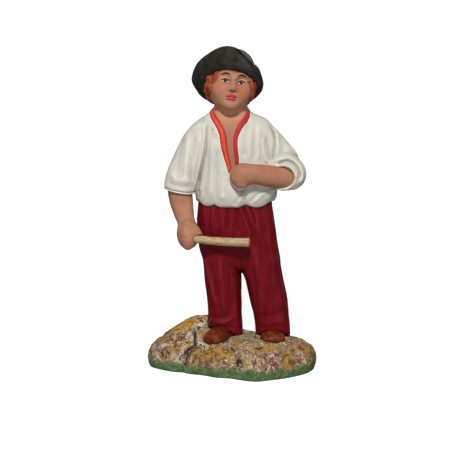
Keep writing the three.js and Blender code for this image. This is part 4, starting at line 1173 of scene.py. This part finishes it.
class Mixer:
    """One paint: the nodes of a material."""

    def __init__(self, name):
        self.material = bpy.data.materials.new(name)
        self.material.use_nodes = True
        self.tree = self.material.node_tree
        self.tree.nodes.clear()
        place = self.node("ShaderNodeTexCoord", {}, {}, "Object")
        # drawn millimetres from the figure's own middle and soles
        back = tuple(-x for x in (*MIDDLE, SOLE_HEIGHT))
        scaled = self.vector("SCALE", place, scale=1 / UNIT)
        self.place = self.vector("ADD", scaled, back)

    def node(self, kind, settings, inputs, output=0):
        node = self.tree.nodes.new(kind)
        for key, value in settings.items():
            setattr(node, key, value)
        for key, value in inputs.items():
            socket = node.inputs[key]
            if isinstance(value, Shade):
                self.tree.links.new(value.socket, socket)
            elif socket.type == "RGBA":
                socket.default_value = (*value, 1)[:4]
            else:
                socket.default_value = value
        return Shade(self, node.outputs[output])

    def vector(self, operation, *values, scale=None, output=0):
        inputs = dict(enumerate(values))
        if scale is not None:
            inputs["Scale"] = scale
        return self.node("ShaderNodeVectorMath", {"operation": operation}, inputs, output)

    def mixed(self, share, first, second):
        return self.node("ShaderNodeMix", {"data_type": "RGBA"}, {0: share, 6: first, 7: second}, 2)

    def over(self, share, tone):
        """Lays a tone over the colour so far."""
        self.colour = self.mixed(share, self.colour, tone)

    def grain(self, size, detail, rough, stretch=None, twist=0.0, place=None, moved=None):
        """Random mottling around 0.5, with lumps of a size in millimetres."""
        place = place or self.place
        if moved:
            place = self.vector("ADD", place, moved)
        if stretch:
            place = self.vector("MULTIPLY", place, stretch)
        return self.node(
            "ShaderNodeTexNoise", {},
            {"Vector": place, "Scale": 1 / size, "Detail": detail, "Roughness": rough, "Distortion": twist},
        )

    def dots(self, size):
        """Distance from dots strewn at random, in shares of the size."""
        inputs = {"Vector": self.place, "Scale": 1 / size}
        return self.node("ShaderNodeTexVoronoi", {"feature": "F1"}, inputs, "Distance")

    def layer(self, name):
        """Values painted on the points of the mesh."""
        return self.node("ShaderNodeAttribute", {"attribute_name": name}, {}, "Fac")

    # Painted shade: the share by which hollows and creases are darkened.
    def shade_in_hollows(self, start, end):
        return self.layer("hollow").between(start, end)

    # Painted highlight: the share by which ridges are lightened.
    def raised(self, start, end):
        return (self.layer("hollow") * -1).between(start, end)

    def near(self, start, end, *others):
        """1 where the surface meets one of the other areas, down to 0 at the distance end."""
        gap = self.layer(f"to_{others[0]}")
        for other in others[1:]:
            gap = gap.least(self.layer(f"to_{other}"))
        return 1 - gap.between(start, end)

    def height(self):
        """Height over the soles."""
        return self.node("ShaderNodeSeparateXYZ", {}, {0: self.place}, 2)

    def finish(self, rough, relief=None, depth=0.05, specular=0.2, glow=0.0):
        """The paint's own surface. Relief is in steps from 0 to 1 and depth in millimetres."""
        inputs = {"Base Color": self.colour, "Roughness": rough, "Specular IOR Level": specular,
                  "Emission Color": (1.0, 1.0, 1.0), "Emission Strength": glow}
        if relief is not None:
            inputs["Normal"] = self.node(
                "ShaderNodeBump", {}, {"Height": relief, "Distance": depth * UNIT, "Strength": 1.0}
            )
        body = self.node("ShaderNodeBsdfPrincipled", {}, inputs)
        output = self.tree.nodes.new("ShaderNodeOutputMaterial")
        self.tree.links.new(body.socket, output.inputs["Surface"])
        return self.material


def rock_paint():
    m = Mixer("rock_paint")
    high_up = m.height() + SOLE_HEIGHT
    patch = m.grain(5.0, 3, 0.55)
    cluster = m.grain(5.5, 2, 0.5, twist=0.3, moved=(7, 3, 19)).between(0.42, 0.58)
    crumb = m.grain(0.62, 2, 0.55)
    grit = m.grain(0.42, 2, 0.6)
    blots = m.grain(2.3, 4, 0.62, twist=0.8, moved=(13, 3, 9)) + (cluster - 0.6) * 0.12
    pits = m.grain(1.5, 4, 0.65, twist=1.0, moved=(31, 7, 5))
    ragged = (m.grain(1.3, 4, 0.6, moved=(3, 17, 41)) - 0.5) * 2.4

    def dab(name, share=1.0):
        return (m.layer(name) + ragged * m.layer(name).between(0.02, 0.3)).between(0.40, 0.56) * share

    def stroke(shade, at, half):
        """A thin irregular line where a shade passes a value."""
        return 1 - (abs(shade - at) / half).between(0.6, 1.2)

    ochre, beige, cream = (0.37, 0.205, 0.044), (0.26, 0.175, 0.085), (0.68, 0.60, 0.44)
    busy = (0.25 + cluster * 0.75) * (1 - dab("gold", 0.6))
    m.colour = m.mixed(patch.between(0.42, 0.54), beige, ochre)
    m.over((grit * 0.5 + crumb * 0.5).between(0.45, 0.60) * 0.6, (0.17, 0.095, 0.042))
    m.over(dab("gold", 0.9), (0.43, 0.225, 0.028))
    m.over(dab("grey", 0.8), (0.24, 0.205, 0.17))
    m.over(dab("pale", 0.6), cream)
    m.over(blots.between(0.515, 0.53) * crumb.between(0.38, 0.5) * busy * 0.85, cream)
    m.over(blots.between(0.55, 0.565) * (0.45 + busy * 0.5), (0.125, 0.036, 0.020))
    m.over((1 - blots.between(0.35, 0.39)) * 0.8, (0.085, 0.040, 0.026))
    m.over(dab("purple", 0.9), (0.125, 0.066, 0.062))
    m.over(dab("red", 0.9), (0.18, 0.044, 0.022))
    m.over(stroke(pits, 0.57, 0.008) * busy * 0.9, (0.72, 0.64, 0.48))
    m.over(stroke(pits, 0.43, 0.010) * (0.4 + busy * 0.5), (0.04, 0.020, 0.014))
    m.over((1 - crumb.between(0.33, 0.41)) * (0.3 + busy * 0.65), (0.045, 0.020, 0.013))
    m.over(grit.between(0.60, 0.66) * (0.1 + busy * 0.85), (0.76, 0.68, 0.50))
    m.over(dab("dark", 0.92), (0.022, 0.014, 0.012))
    # Painted shade in the cracks and hollows, a painted highlight on the ridges, and painted shade where
    # the shoes and trousers meet the rock.
    m.over((m.layer("crack") + ragged * 0.45).between(0.6, 1.1) * 0.6, (0.045, 0.028, 0.024))
    m.over(m.shade_in_hollows(0.22, 0.6) * 0.7, (0.06, 0.038, 0.028))
    m.over(m.raised(0.15, 0.45) * grit.between(0.35, 0.6) * 0.5, cream)
    m.over(m.near(0.0, 0.45, "shoes", "trousers") * 0.6, (0.05, 0.035, 0.028))
    rim = high_up + (m.grain(4.2, 4, 0.62) - 0.5) * 7.0 + (m.grain(1.3, 3, 0.6) - 0.5) * 2.6
    rim = rim + m.layer("purple") * 3.6
    moss = m.grain(1.6, 4, 0.62)
    green = m.mixed(moss.between(0.35, 0.62), (0.060, 0.115, 0.040), (0.125, 0.200, 0.076))
    green = m.mixed(moss.between(0.58, 0.66) * 0.6, green, (0.21, 0.14, 0.075))
    green = m.mixed((1 - grit.between(0.32, 0.45)) * 0.4, green, (0.03, 0.035, 0.02))
    m.over(1 - rim.between(2.7, 3.5), green)
    m.over(1 - high_up.between(0.1, 0.55), (0.09, 0.07, 0.045))
    relief = crumb * 0.7 + grit * 0.3
    return m.finish(0.6 + crumb * 0.3, relief, 0.22, specular=0.12)


def trouser_paint():
    m = Mixer("trouser_paint")
    brush = m.grain(1.3, 4, 0.6, stretch=(1, 1, 0.14))
    cloud = m.grain(7, 2, 0.5)
    dark, red, light = (0.120, 0.0030, 0.0066), (0.172, 0.0048, 0.0108), (0.29, 0.024, 0.036)
    m.colour = m.mixed(brush.between(0.3, 0.7), dark, red)
    m.over(cloud.between(0.42, 0.68) * 0.4, (0.195, 0.0048, 0.011))
    # Painted highlight on the folds' ridges and on other ridges, painted shade in the folds' creases and in
    # hollows, and painted shade where the blouse, shoes and rock meet the trousers.
    m.over((m.layer("ridge") * brush.between(0.2, 0.6)).between(0.1, 1.3) * 0.5, light)
    m.over(m.layer("crease").between(0.1, 1.2) * 0.5, (0.05, 0.0018, 0.003))
    m.over(m.shade_in_hollows(0.15, 0.6) * 0.6, (0.03, 0.0012, 0.002))
    m.over(m.raised(0.12, 0.4) * 0.3, light)
    m.over(m.near(0.0, 0.7, "blouse", "shoes", "rock") * 0.7, (0.02, 0.0008, 0.0012))
    return m.finish(0.38 + brush * 0.16, brush, 0.03, specular=0.08)


def blouse_paint():
    m = Mixer("blouse_paint")
    brush = m.grain(1.3, 4, 0.6, stretch=(1, 1, 0.2))
    cloud = m.grain(4.5, 3, 0.55, stretch=(1, 1, 0.6))
    tint = m.grain(2.6, 3, 0.55, stretch=(1, 1, 0.4), moved=(5, 40, 3))
    white, blue, beige = (0.625, 0.60, 0.51), (0.53, 0.54, 0.49), (0.59, 0.535, 0.41)
    m.colour = m.mixed(cloud.between(0.42, 0.62) * 0.7, white, blue)
    m.over(tint.between(0.50, 0.70) * 0.6, beige)
    m.over(brush.between(0.52, 0.72) * 0.5, (0.69, 0.67, 0.585))
    m.over((1 - brush.between(0.28, 0.42)) * 0.3, (0.48, 0.45, 0.37))
    # Painted shade in the folds' creases and in hollows, then a painted highlight on the folds' ridges and
    # on other ridges.
    m.over(m.layer("crease").between(0.45, 1.1) * 0.65, (0.34, 0.31, 0.24))
    m.over(m.shade_in_hollows(0.12, 0.6) * 0.65, (0.34, 0.31, 0.24))
    ridge = m.layer("ridge").between(0.4, 1.1) * brush.between(0.25, 0.5)
    m.over(ridge * 0.7, (0.86, 0.80, 0.60))
    m.over(m.raised(0.2, 0.55) * 0.4, (0.82, 0.79, 0.66))
    m.over((1 - m.layer("trim_gap").between(0.1, 0.45)) * 0.65, (0.84, 0.76, 0.70))
    m.over(m.near(0.25, 0.75, "arms") * 0.8, (0.86, 0.80, 0.62))
    # Painted shade where the blouse meets the arms.
    m.over(m.near(-0.1, 0.12, "arms") * 0.8, (0.18, 0.10, 0.055))
    over = m.layer("over_hem")
    m.over((1 - over.between(0.45, 0.62)) * 0.8, (0.88, 0.80, 0.68))
    seam = 1 - (abs(over - 0.72 + (tint - 0.5) * 0.25) / 0.15).between(0.7, 1.3)
    m.over(seam * 0.85, (0.16, 0.115, 0.075))
    pinhole = 1 - m.dots(5.2).between(0.026, 0.05)
    m.over(pinhole * 0.8, (0.14, 0.12, 0.10))
    relief = brush * 0.7 + cloud * 0.3 - pinhole * 2.0
    return m.finish(0.5 + brush * 0.2, relief, 0.06, specular=0.2)


def trim_paint():
    m = Mixer("trim_paint")
    brush = m.grain(0.9, 3, 0.6, stretch=(1, 1, 0.3))
    band = m.layer("band")
    crimson, orange = (0.42, 0.022, 0.028), (0.68, 0.085, 0.028)
    m.colour = m.mixed(brush.between(0.3, 0.7) * 0.5, crimson, (0.50, 0.04, 0.035))
    middle = (1 - band.between(0.25, 0.62)) * brush.between(0.22, 0.5)
    m.over(middle, orange)
    m.over((1 - band.between(0.0, 0.25)) * brush.between(0.5, 0.7) * 0.6, (0.80, 0.20, 0.05))
    # Painted shade in the hollows.
    m.over(m.shade_in_hollows(0.3, 0.8) * 0.3, (0.30, 0.010, 0.018))
    return m.finish(0.42 + brush * 0.15, brush, 0.04, specular=0.16)


SKIN, SKIN_RED = (0.42, 0.203, 0.119), (0.41, 0.165, 0.095)
# The lighter tone is for brush marks and painted highlights, the darker one for painted shade in hollows.
SKIN_LIGHT, SKIN_SHADE = (0.52, 0.285, 0.185), (0.20, 0.078, 0.039)


def skin_brush(m):
    """Lays the skin's colours, and gives its brush marks."""
    cloud = m.grain(4.0, 3, 0.5)
    brush = m.grain(0.9, 3, 0.6)
    m.colour = m.mixed(cloud.between(0.38, 0.66), SKIN, SKIN_RED)
    m.over(brush.between(0.55, 0.8) * 0.35, SKIN_LIGHT)
    # Painted highlight on the ridges and painted shade in the hollows.
    m.over(m.raised(0.05, 0.4) * 0.35, SKIN_LIGHT)
    m.over(m.shade_in_hollows(0.2, 0.75) * 0.5, SKIN_SHADE)
    return brush


def hand_paint():
    m = Mixer("hand_paint")
    brush = skin_brush(m)
    # Painted shade where the hands meet the blouse and trousers.
    m.over(m.near(0.05, 0.55, "blouse", "trousers") * 0.75, (0.13, 0.055, 0.028))
    return m.finish(0.42 + brush * 0.15, brush, 0.03, specular=0.12)


def face_paint():
    m = Mixer("face_paint")
    brush = skin_brush(m)
    off = m.vector("SUBTRACT", m.place, tuple(HEAD_MIDDLE))
    x, y, z = (m.vector("DOT_PRODUCT", off, tuple(HEAD_TURN[:, k]), output=1) for k in range(3))
    side = abs(x)
    front = 1 - y.between(-4.2, -3.2)

    def spot(at, up, wide, tall, soft=0.5):
        away = (((side - at) / wide) ** 2 + ((z - up) / tall) ** 2) ** 0.5
        return (1 - away.between(1 - soft, 1 + soft)) * front

    def arc(at, up, wide, rise, thick, slant=0.0):
        t = (side - at) / wide
        line = z - up - (1 - t * t) * rise - t * slant
        width = (1 - t * t).most(0.0) ** 0.5 * thick
        drawn = 1 - (abs(line) / width.most(0.02)).between(0.75, 1.15)
        return drawn * (1 - abs(t).between(0.93, 1.0)) * front

    def glint_at(across):
        return ((x - across) / 0.13) ** 2 + ((z - 0.6) / 0.13) ** 2

    m.over(spot(3.7, -2.1, 1.9, 1.7, 0.7) * 0.38, (0.50, 0.11, 0.065))
    up = m.height()
    chest = up.between(54, 62) * (1 - up.between(64, 69))
    m.over(chest * 0.45, (0.37, 0.160, 0.098))
    # Painted light: a lighter, warmer band on the neck under the chin, against the chin's shade.
    painted_neck_light = up.between(66.5, 69) * (1 - up.between(70.5, 73))
    m.over(painted_neck_light * 0.7, (0.60, 0.28, 0.165))
    # Painted highlight on the chin.
    m.over(spot(0, -6.6, 2.4, 1.2, 0.6) * 0.3, SKIN_LIGHT)
    m.over(spot(0, -2.0, 0.9, 0.9, 0.6) * 0.35, SKIN_RED)
    # Painted highlight on the upper lids, under the brows.
    m.over(spot(2.45, 1.25, 1.5, 0.6, 0.5) * 0.5, (0.66, 0.36, 0.26))
    m.over(spot(2.45, 0.26, 1.0, 0.38, 0.25), (0.58, 0.50, 0.42))
    m.over(spot(2.45, 0.32, 0.58, 0.52, 0.2), (0.045, 0.018, 0.010))
    m.over(spot(2.45, 0.36, 0.26, 0.26, 0.2), (0.008, 0.006, 0.005))
    m.over(arc(2.45, 0.16, 1.35, 0.62, 0.26), (0.022, 0.010, 0.008))
    m.over(arc(2.45, 0.0, 1.15, -0.34, 0.12) * 0.5, (0.16, 0.06, 0.035))
    m.over(arc(2.6, 1.85, 1.6, 0.62, 0.34, -0.12), (0.030, 0.012, 0.008))
    lips = spot(0.48, -4.12, 0.95, 0.42, 0.25).most(spot(0, -4.66, 1.15, 0.42, 0.22))
    lips = lips.most(spot(0.9, -4.4, 0.85, 0.26, 0.3))
    m.over(lips * 0.95, (0.50, 0.030, 0.040))
    m.over(arc(0, -4.42, 1.5, 0.0, 0.12) * 0.8, (0.20, 0.008, 0.014))
    # Painted highlight on the lower lip.
    m.over(spot(0, -4.85, 0.5, 0.14, 0.5) * 0.45, (0.78, 0.16, 0.15))
    m.over(spot(0.52, -2.72, 0.3, 0.2, 0.4) * 0.85, (0.12, 0.03, 0.02))
    glint = glint_at(-2.25).least(glint_at(2.65))
    m.over((1 - glint.between(0.5, 1.2)) * front * 0.6, (0.8, 0.76, 0.7))
    # Painted shade under the hat.
    m.over(m.near(0.0, 0.9, "hat") * 0.75, (0.13, 0.045, 0.025))
    by_hair = m.layer("to_hair") + (brush - 0.5) * 0.6
    m.over((1 - by_hair.between(0.0, 0.45)) * 0.7, (0.22, 0.05, 0.02))
    # Painted shade where the neck meets the trim and blouse.
    m.over(m.near(0.05, 0.4, "trim", "blouse") * 0.45, (0.22, 0.075, 0.04))
    return m.finish(0.42 + brush * 0.15, brush, 0.02, specular=0.12)


def hair_paint(layered=True):
    m = Mixer("hair_paint")
    strand = m.grain(0.9, 4, 0.6, stretch=(1, 1, 0.5))
    m.colour = m.mixed(strand.between(0.32, 0.58), (0.17, 0.030, 0.014), (0.35, 0.072, 0.027))
    m.over(strand.between(0.55, 0.70) * 0.7, (0.54, 0.160, 0.065))
    if layered:
        # Painted shade in the hollows, a painted highlight on the ridges, and painted shade under the hat.
        m.over(m.shade_in_hollows(0.1, 0.5) * 0.8, (0.045, 0.010, 0.006))
        m.over(m.raised(0.1, 0.5) * 0.5, (0.56, 0.17, 0.06))
        m.over(m.near(0.0, 0.8, "hat") * 0.8, (0.02, 0.008, 0.006))
    return m.finish(0.45 + strand * 0.15, strand, 0.05, specular=0.12)


def hat_paint():
    m = Mixer("hat_paint")
    brush = m.grain(1.8, 4, 0.62)
    cloud = m.grain(6, 2, 0.5)
    m.colour = m.mixed(brush.between(0.35, 0.7), (0.0145, 0.0135, 0.009), (0.030, 0.028, 0.018))
    m.over(cloud.between(0.5, 0.7) * 0.4, (0.030, 0.025, 0.016))
    # Painted highlight on the ridges, then painted shade in the hollows.
    worn = (m.layer("hollow") * -1 + (brush - 0.5) * 0.5).between(0.12, 0.5)
    m.over(worn * 0.4, (0.052, 0.051, 0.037))
    m.over(m.shade_in_hollows(0.15, 0.6) * 0.85, (0.004, 0.004, 0.004))
    m.over(m.layer("crown") * (0.4 + brush * 0.5), (0.14, 0.14, 0.095))
    # Painted highlight streaks on the brim.
    m.over(m.layer("worn") * brush.between(0.3, 0.6) * 0.6, (0.080, 0.080, 0.066))
    # Painted shade line where the brim passes in front of the crown.
    m.over(m.layer("groove").between(0.25, 0.7) * 0.95, (0.004, 0.004, 0.004))
    # Painted shade where the hat meets the hair and head.
    m.over(m.near(0.0, 0.8, "hair", "head") * 0.8, (0.003, 0.003, 0.003))
    return m.finish(0.46 + brush * 0.2, brush, 0.06, specular=0.1)


def shoe_paint():
    m = Mixer("shoe_paint")
    brush = m.grain(1.1, 4, 0.6)
    m.colour = m.mixed(brush.between(0.35, 0.68), (0.080, 0.010, 0.003), (0.165, 0.022, 0.006))
    # Painted highlight on the ridges, painted shade in the hollows, and painted shade where the trousers
    # and rock meet the shoes.
    m.over(m.raised(0.05, 0.4) * brush.between(0.3, 0.6) * 0.5, (0.24, 0.045, 0.014))
    m.over(m.shade_in_hollows(0.15, 0.6) * 0.6, (0.045, 0.010, 0.005))
    m.over(m.near(0.0, 0.6, "trousers", "rock") * 0.75, (0.03, 0.009, 0.005))
    return m.finish(0.34 + brush * 0.18, brush, 0.03, specular=0.1)


def stick_paint():
    m = Mixer("stick_wood")
    place = m.node("ShaderNodeCombineXYZ", {}, {0: m.layer("run") * 0.22, 1: m.layer("round")})
    fibre = m.grain(0.5, 4, 0.6, place=place)
    broad = m.grain(1.4, 3, 0.5, place=place)
    m.colour = m.mixed(fibre.between(0.3, 0.7), (0.30, 0.18, 0.08), (0.60, 0.44, 0.245))
    m.over(broad.between(0.55, 0.72) * 0.5, (0.36, 0.27, 0.11))
    rings = m.node("ShaderNodeMath", {"operation": "SINE"}, {0: m.layer("away") * 14.0}) * 0.5 + 0.5
    m.over(m.layer("tip") * 0.85, m.mixed(rings * 0.5, (0.74, 0.60, 0.40), (0.52, 0.38, 0.2)))
    return m.finish(0.6 + fibre * 0.2, fibre, 0.08, specular=0.3)


# The stick: a bent bar with flats left by the knife and a cut end

def whittled_stick():
    rings, around = 96, 40
    shown = STICK_LENGTH - STICK_HIDDEN
    runs = np.linspace(-STICK_HIDDEN, shown, rings)
    side = np.cross(STICK_LINE, [0, 0, 1])
    side /= np.linalg.norm(side)
    up = np.cross(side, STICK_LINE)
    bevel = 0.18
    points, marks = [], []

    def radius(run):
        return STICK_DIAMETER / 2 * (0.9 + 0.1 * max(0.0, run) / shown)

    def ring(run, reach, tip=0.0):
        t = run / shown
        centre = STICK_GRIP + run * STICK_LINE - np.array([0, 0, 4 * STICK_SAG * t * (1 - t)])
        for i in range(around):
            angle = 2 * math.pi * i / around
            flat = 0.035 * math.cos(5 * angle + 0.5 * math.sin(run * 0.3))
            flat += 0.02 * math.cos(11 * angle + run * 0.15)
            out = reach * (1 + flat - 0.012)
            points.append(centre + out * (math.cos(angle) * side + math.sin(angle) * up))
            marks.append((run, reach * angle, reach, tip))

    for share in (0.0, 0.45, 0.8):
        ring(runs[0] + 0.001, radius(runs[0]) * share, 1.0)
    ring(runs[0] + bevel, radius(runs[0]))
    for run in runs[1:-1]:
        ring(run, radius(run))
    ring(runs[-1] - bevel, radius(runs[-1]))
    ring(shown, radius(shown) - bevel, 1.0)
    for share in (0.6, 0.3, 0.0):
        ring(shown + 0.02, (radius(shown) - bevel) * share, 1.0)
    count = len(points) // around
    faces = []
    for r in range(count - 1):
        for i in range(around):
            j = (i + 1) % around
            faces.append((r * around + i, r * around + j, (r + 1) * around + j, (r + 1) * around + i))
    mesh = bpy.data.meshes.new("whittled_stick")
    mesh.from_pydata(framed(points).tolist(), [], faces)
    piece = put("whittled_stick", mesh)
    painted_on(piece, **dict(zip(("run", "round", "away", "tip"), zip(*marks))))
    tidy_mesh(piece)
    return piece


def tidy_mesh(piece):
    """Closes poles and turns the faces outwards."""
    work = bmesh.new()
    work.from_mesh(piece.data)
    bmesh.ops.remove_doubles(work, verts=work.verts, dist=1e-7)
    bmesh.ops.recalc_face_normals(work, faces=work.faces)
    work.to_mesh(piece.data)
    work.free()
    piece.data.shade_smooth()


started["whittled_stick"] = whittled_stick()


# Curls of hair: spirals of a rolled strand, set along the hairline, the second row and the nape

def curl_rows():
    curves = bpy.data.curves.new("hair_curls", "CURVE")
    curves.dimensions = "3D"
    sides = [[(s * x, y, z) for x, y, z in row] for row in (HAIRLINE, SECOND_ROW) for s in (-1, 1)]
    for row in [*sides, NAPE]:
        line = smooth_line(row, 10)
        line = line[hat(line @ HEAD_TURN.T + HEAD_MIDDLE) > 1.2]
        if len(line) < 2:
            continue
        outward = line * np.array([1, 1, 0.25])
        outward /= np.linalg.norm(outward, axis=1)[:, None]
        line = framed((line + CURL_PROUD * outward) @ HEAD_TURN.T + HEAD_MIDDLE)
        spline = curves.splines.new("POLY")
        spline.points.add(len(line) - 1)
        spline.points.foreach_set("co", np.column_stack([line, np.ones(len(line))]).ravel())
    return put("hair_curls", curves)


CURL_SIZES = {
    "Curl spacing": 2.2 * UNIT, "Curl radius": 1.25 * UNIT, "Strand radius": 0.6 * UNIT,
    "Turns": 1.15, "Curl rise": 0.75 * UNIT,
}
CURL_EYE = 0.12 * UNIT  # radius at which a curl starts
CURL_PROUD = 0.25  # how far the curls' lines stand off the hair


def curl_tree(material):
    tree = bpy.data.node_groups.new("curls_of_hair", "GeometryNodeTree")
    tree.interface.new_socket("Geometry", in_out="INPUT", socket_type="NodeSocketGeometry")
    for name in CURL_SIZES:
        tree.interface.new_socket(name, in_out="INPUT", socket_type="NodeSocketFloat")
    tree.interface.new_socket("Head middle", in_out="INPUT", socket_type="NodeSocketVector")
    tree.interface.new_socket("Geometry", in_out="OUTPUT", socket_type="NodeSocketGeometry")
    nodes, links = tree.nodes, tree.links

    def node(kind, inputs=None, **settings):
        made = nodes.new(kind)
        for key, value in settings.items():
            setattr(made, key, value)
        for key, value in (inputs or {}).items():
            if isinstance(value, bpy.types.NodeSocket):
                links.new(value, made.inputs[key])
            else:
                made.inputs[key].default_value = value
        return made

    given = node("NodeGroupInput").outputs
    rows = node(
        "GeometryNodeResampleCurve", {"Curve": given["Geometry"], "Length": given["Curl spacing"]},
        mode="LENGTH",
    )
    spiral = node("GeometryNodeCurveSpiral", {
        "Resolution": 16, "Rotations": given["Turns"], "Start Radius": CURL_EYE,
        "End Radius": given["Curl radius"], "Height": 0.0,
    })
    share = node("GeometryNodeSplineParameter")
    taper = node("ShaderNodeMapRange", {
        "Value": share.outputs["Factor"], "From Min": 0.72, "From Max": 1.0, "To Min": 1.0, "To Max": 0.35,
    })
    rise = node("ShaderNodeMath", {0: share.outputs["Factor"], 1: -1.0}, operation="MULTIPLY")
    lift = node("ShaderNodeMath", {0: rise.outputs[0], 1: given["Curl rise"]}, operation="MULTIPLY")
    offset = node("ShaderNodeCombineXYZ", {"Z": lift.outputs[0]})
    raised = node("GeometryNodeSetPosition", {"Geometry": spiral.outputs[0], "Offset": offset.outputs[0]})
    thinned = node("GeometryNodeSetCurveRadius", {"Curve": raised.outputs[0], "Radius": taper.outputs[0]})
    profile = node("GeometryNodeCurvePrimitiveCircle", {"Resolution": 9, "Radius": given["Strand radius"]})
    strand = node("GeometryNodeCurveToMesh", {
        "Curve": thinned.outputs[0], "Profile Curve": profile.outputs[0], "Scale": taper.outputs[0],
        "Fill Caps": True,
    })
    smooth = node("GeometryNodeSetShadeSmooth", {"Geometry": strand.outputs[0]})
    position = node("GeometryNodeInputPosition")
    outward = node(
        "ShaderNodeVectorMath", {0: position.outputs[0], 1: given["Head middle"]}, operation="SUBTRACT"
    )
    facing = node("FunctionNodeAlignRotationToVector", {"Vector": outward.outputs[0]}, axis="Z")
    size = node("FunctionNodeRandomValue", {"Min": 0.85, "Max": 1.12, "Seed": 5}, data_type="FLOAT")
    placed = node("GeometryNodeInstanceOnPoints", {
        "Points": rows.outputs[0], "Instance": smooth.outputs[0], "Rotation": facing.outputs[0],
        "Scale": size.outputs["Value"],
    })
    twist = node(
        "FunctionNodeRandomValue", {"Min": 0.0, "Max": 2 * math.pi, "Seed": 11}, data_type="FLOAT"
    )
    turn = node("ShaderNodeCombineXYZ", {"Z": twist.outputs["Value"]})
    spun = node("GeometryNodeRotateInstances", {
        "Instances": placed.outputs[0], "Rotation": turn.outputs[0], "Local Space": True,
    })
    real = node("GeometryNodeRealizeInstances", {"Geometry": spun.outputs[0]})
    painted = node("GeometryNodeSetMaterial", {"Geometry": real.outputs[0], "Material": material})
    links.new(painted.outputs[0], node("NodeGroupOutput").inputs[0])
    return tree


def hair_curls(material):
    guide = curl_rows()
    tree = curl_tree(material)
    modifier = guide.modifiers.new("curls", "NODES")
    modifier.node_group = tree
    values = {**CURL_SIZES, "Head middle": tuple(framed(HEAD_MIDDLE[None])[0])}
    for item in tree.interface.items_tree:
        if item.in_out == "INPUT" and item.name in values:
            modifier[item.identifier] = values[item.name]
    bpy.context.view_layer.update()
    made = bpy.data.meshes.new_from_object(guide.evaluated_get(bpy.context.evaluated_depsgraph_get()))
    guide.modifiers.clear()
    bpy.data.objects.remove(guide)
    return put("hair_curls", made)


curl_paint = hair_paint(layered=False)
curl_paint.name = "curl_paint"
started["hair_curls"] = hair_curls(curl_paint)

paints = {
    "rock_base": rock_paint(), "shoe_pair": shoe_paint(), "trousers": trouser_paint(),
    "blouse": blouse_paint(), "blouse_trim": trim_paint(), "arms_and_hands": hand_paint(),
    "head_and_neck": face_paint(),
    "hair_mass": hair_paint(), "hat": hat_paint(), "whittled_stick": stick_paint(),
    "hair_curls": curl_paint,
}
for name, piece in started.items():
    piece.data.materials.clear()
    piece.data.materials.append(paints[name])
    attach(piece, "root")
    wooden = name == "whittled_stick"
    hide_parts("stick" if wooden else FIGURE)
    print(name, len(piece.data.loop_triangles), "triangles")


# Floor, light and camera

def pale_floor():
    mesh = bpy.data.meshes.new("floor")
    mesh.from_pydata([(-30, -30, 0), (30, -30, 0), (30, 30, 0), (-30, 30, 0)], [], [(0, 1, 2, 3)])
    floor = put("floor", mesh)
    m = Mixer("floor_paint")
    m.colour = (0.36, 0.36, 0.36)
    mesh.materials.append(m.finish(0.9, specular=0.0, glow=0.92))
    # it looks white, takes no part in reflections, and a lamp under it shines through
    floor.visible_diffuse = floor.visible_glossy = floor.visible_shadow = False


LIT_PLACE = Vector((0, 0, 0.05))  # half way up the figure


def lamp(name, place, power, size):
    light = bpy.data.lights.new(name, "AREA")
    light.energy, light.size = power, size
    piece = put(name, light)
    piece.location = place
    piece.rotation_euler = (LIT_PLACE - Vector(place)).to_track_quat("-Z", "Y").to_euler()


pale_floor()
lamp("key_light", (-0.05, -0.86, 0.95), 15.2, 0.12)
lamp("front_light", (0.25, -1.25, 0.1), 1.3, 0.8)
lamp("table_light", (0, -0.5, -0.4), 1.6, 1.0)
for side in (-1, 1):
    lamp("side_light", (1.2 * side, -0.4, -0.1), 2.0, 0.6)
    lamp("back_light", (0.9 * side, 0.9, 0.45), 2.6, 0.8)
world = bpy.data.worlds.new("studio")
bpy.context.scene.world = world
world.use_nodes = True
background = world.node_tree.nodes["Background"]
background.inputs["Color"].default_value = (1, 1, 1, 1)
background.inputs["Strength"].default_value = 0.05
bpy.context.scene.view_settings.view_transform = "Standard"

DISTANCE = 1.6
SENSOR = 36
camera_data = bpy.data.cameras.new("camera")
camera_data.sensor_width = SENSOR
camera_data.lens = SENSOR * DISTANCE / (PICTURE * STEP * UNIT)
camera = put("camera", camera_data)
half = PICTURE / 2
aim = Vector((
    MIDDLE[0] + (half - PICTURE_MIDDLE[0]) * STEP,
    MIDDLE[1],
    (PICTURE_MIDDLE[1] - half) * STEP / math.cos(LOOK_DOWN),
)) * UNIT
back = Vector((0, -math.cos(LOOK_DOWN), math.sin(LOOK_DOWN)))
camera.location = aim + back * DISTANCE
camera.rotation_euler = (-back).to_track_quat("-Z", "Y").to_euler()
bpy.context.scene.camera = camera

bpy.context.view_layer.update()
